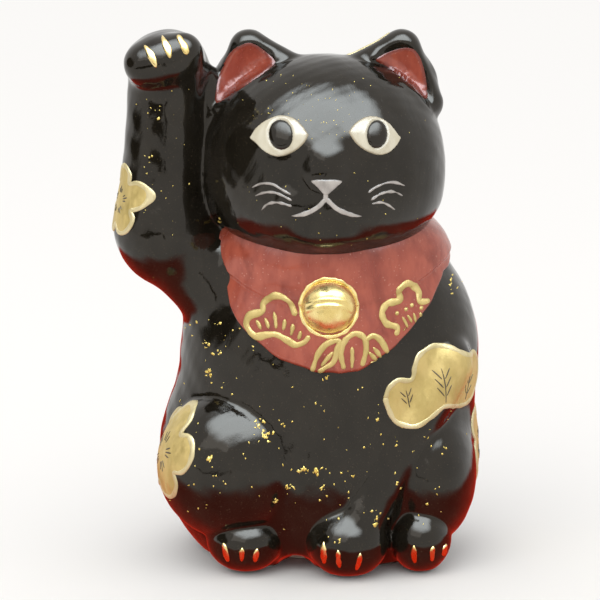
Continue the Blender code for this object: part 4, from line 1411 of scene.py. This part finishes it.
# %% Scatter the leaf
CLUSTERS = [  # across, up, spread across, spread up, how many, size
    (-20.3, 44.4, 1.6, 1.2, 9, 0.42), (-20.6, 50.5, 0.8, 0.9, 5, 0.5), (-17.8, 49.0, 0.8, 0.8, 4, 0.4),
    (-17.6, 55.8, 0.6, 0.6, 3, 0.4), (-9.3, 35.0, 1.1, 0.8, 7, 0.5), (-6.7, 32.3, 1.7, 0.8, 12, 0.55),
    (1.0, 24.6, 3.1, 0.5, 22, 0.5), (-2.2, 20.8, 1.1, 0.7, 8, 0.55), (-5.7, 17.6, 1.1, 0.5, 6, 0.5),
    (16.6, 14.2, 0.7, 1.3, 6, 0.5), (17.0, 35.8, 0.5, 1.0, 4, 0.5), (5.3, 45.6, 0.9, 0.7, 4, 0.4),
    (-3.7, 34.8, 0.8, 0.8, 4, 0.4), (-19.6, 28.3, 0.6, 0.6, 4, 0.5), (4.6, 20.8, 0.6, 0.6, 4, 0.5),
    (-31.4, 103.0, 2.2, 1.6, 7, 0.34), (-33.5, 92.0, 0.8, 2.2, 6, 0.3), (-17.8, 78.2, 0.4, 0.8, 3, 0.45),
    (33.8, 63.0, 0.9, 3.0, 8, 0.36), (8.4, 9.8, 1.2, 0.6, 5, 0.4),
]
FIELDS = [  # region of sparse flecks: low corner, high corner, how many, size
    ((-30, 14), (-4, 56), 60, 0.26), ((-4, 10), (34, 44), 70, 0.24), ((-8, 98), (14, 111), 60, 0.12),
    ((-36, 70), (-24, 108), 16, 0.16), ((-16, 74), (26, 92), 24, 0.13), ((-22, 96), (28, 112), 16, 0.12),
]
leaf_random = np.random.default_rng(61)


def fleck(across, up, size, view=FRONT):
    """One ragged chip of leaf."""
    corners = int(leaf_random.integers(5, 9))
    angles = np.sort(leaf_random.uniform(0, 2 * math.pi, corners))
    reach = 1.25 * size * leaf_random.uniform(0.35, 1.0, corners)
    flat = np.stack([across + reach * np.cos(angles) * 0.9, up + reach * np.sin(angles)], axis=1)
    hits, out = dropped(flat, view, CLAY_TREE)
    if np.ptp(hits[:, 1]) > 2.5:
        return None
    middle = hits.mean(axis=0)
    normal = out.mean(axis=0)
    top = np.concatenate([hits + out * 0.05, [middle + normal * 0.09]])
    faces = [(index, (index + 1) % corners, corners) for index in range(corners)]
    return film(
        top, np.concatenate([out, [normal]]), np.zeros(corners + 1), 0.2, faces, np.ones(corners + 1),
    )


flecks = []
for across, up, wide, high, count, size in CLUSTERS:
    for _ in range(count):
        spot = leaf_random.normal((across, up), (wide * 0.6, high * 0.6))
        flecks.append(fleck(spot[0], spot[1], size * leaf_random.uniform(0.35, 1.25)))
for low, high, count, size in FIELDS:
    for _ in range(count):
        spot = leaf_random.uniform(low, high)
        flecks.append(fleck(spot[0], spot[1], size * leaf_random.uniform(0.4, 1.5)))
for _ in range(70):
    angle = leaf_random.uniform(60, 300)
    spot = leaf_random.uniform((-24, 12), (24, 62))
    flecks.append(fleck(spot[0], spot[1], 0.26 * leaf_random.uniform(0.4, 1.6), from_side(angle)))
flecks = [chip for chip in flecks if chip is not None]
painted("gold_leaf_flecks", flecks, "gold_leaf")

# %% [markdown]
# ## Table, camera and light
# A glossy black object is lit by what it mirrors. A pale room gives the soft grey sheen, and a broad
# window above the face gives the bright patch on the forehead. A red cloth under the figure glows in its
# lowest curves. Two black flags on the floor in front and one standing at the left give the dark bands
# that make a gloss look deep. The window, the cloth and the flags show in reflections only.

# %% Lay the table
CAMERA_AIM = Vector((0.00047, -0.00206, 0.0580))
CAMERA_DISTANCE = 0.750
CAMERA_RISE = math.radians(12)
CAMERA_LENS = 200.7


def plain_material(name, colour, roughness):
    material, _, shader = new_material(name, roughness)
    shader.inputs["Base Color"].default_value = (*colour, 1.0)
    return material


bm = bmesh.new()
bmesh.ops.create_grid(bm, x_segments=1, y_segments=1, size=6.0)
table = bpy.data.meshes.new("table")
bm.to_mesh(table)
bm.free()
table.materials.append(plain_material("pale_table", (0.95, 0.945, 0.94), 0.9))
table.materials[0].node_tree.nodes["Principled BSDF"].inputs["Specular IOR Level"].default_value = 0
table_object = bpy.data.objects.new("table", table)
bpy.context.scene.collection.objects.link(table_object)

# %% Aim the camera
camera = bpy.data.objects.new("camera", bpy.data.cameras.new("camera"))
bpy.context.scene.collection.objects.link(camera)
camera.data.lens = CAMERA_LENS
camera.data.sensor_width = 36.0
camera.location = CAMERA_AIM + CAMERA_DISTANCE * Vector((0, -math.cos(CAMERA_RISE), math.sin(CAMERA_RISE)))
camera.rotation_euler = (math.pi / 2 - CAMERA_RISE, 0, 0)
bpy.context.scene.camera = camera
print("camera at", [round(value, 3) for value in camera.location])


# %% Hang the light
def area_light(name, place, aim, size, radiance, colour):
    """A soft rectangle of light that leaves no gloss mark. radiance is how bright its face is."""
    light = bpy.data.lights.new(name, "AREA")
    light.shape = "RECTANGLE"
    light.size, light.size_y = size
    light.energy = radiance * math.pi * size[0] * size[1]
    light.color = colour
    light.specular_factor = 0
    holder = bpy.data.objects.new(name, light)
    bpy.context.scene.collection.objects.link(holder)
    holder.location = place
    holder.rotation_euler = (Vector(aim) - Vector(place)).to_track_quat("-Z", "Y").to_euler()
    holder.visible_camera = False


area_light("soft_key", (-0.25, -0.45, 0.60), (0.0, 0.0, 0.06), (0.60, 0.60), 1.0, (1.0, 0.98, 0.95))


# %% Lay the cloth, the window and the flags
def card(name, place, half, colour=(0, 0, 0), glow=0.0, turn=(0, 0, 0), full=0.0):
    """A flat card that shows in reflections only. half is its half width and half depth.

    With full above 0 the card is whole out to that share of its radius and fades beyond it.
    """
    bm = bmesh.new()
    bmesh.ops.create_grid(bm, x_segments=1, y_segments=1, size=1.0)
    mesh = bpy.data.meshes.new(name)
    bm.to_mesh(mesh)
    bm.free()
    look = plain_material(name, (0, 0, 0), 1.0)
    tree, shader = look.node_tree, look.node_tree.nodes["Principled BSDF"]
    shader.inputs["Specular IOR Level"].default_value = 0
    shader.inputs["Emission Color"].default_value = (*colour, 1.0)
    shader.inputs["Emission Strength"].default_value = glow
    if full:  # fades into whatever lies behind it
        middle = node(
            tree, "ShaderNodeTexGradient", {"Vector": node(tree, "ShaderNodeTexCoord").outputs["Object"]},
        )
        middle.gradient_type = "SPHERICAL"
        faded = ramp(tree, middle.outputs["Fac"], 0.0, 1.0 - full, 0.0, 1.0)
        tree.links.new(faded, shader.inputs["Alpha"])
    mesh.materials.append(look)
    made = bpy.data.objects.new(name, mesh)
    bpy.context.scene.collection.objects.link(made)
    made.location, made.scale, made.rotation_euler = place, (*half, 1), turn
    made.visible_camera = made.visible_diffuse = made.visible_shadow = False


card(
    "sky_window", (0.030, -0.150, 0.420), (0.44, 0.27), (0.82, 0.92, 1.0), 11.0, (math.radians(25), 0, 0),
    full=0.35,
)
card("red_cloth", (0.0, 0.1145, 0.0006), (0.150, 0.1995), (1.0, 0.050, 0.025), 0.66, full=0.82)
card("left_flag", (-0.34, -0.78, 0.0010), (0.28, 0.53), full=0.85)
card("narrow_flag", (-0.022, -0.78, 0.0012), (0.024, 0.53), full=0.85)
card("standing_flag", (-0.70, 0.0, 0.23), (0.26, 0.42), turn=(0, math.pi / 2, 0), full=0.7)

world = bpy.data.worlds.new("pale_room")
world.use_nodes = True
world.node_tree.nodes["Background"].inputs["Color"].default_value = (1.0, 0.99, 0.975, 1)
world.node_tree.nodes["Background"].inputs["Strength"].default_value = 1.0
bpy.context.scene.world = world
bpy.context.scene.view_settings.view_transform = "Standard"
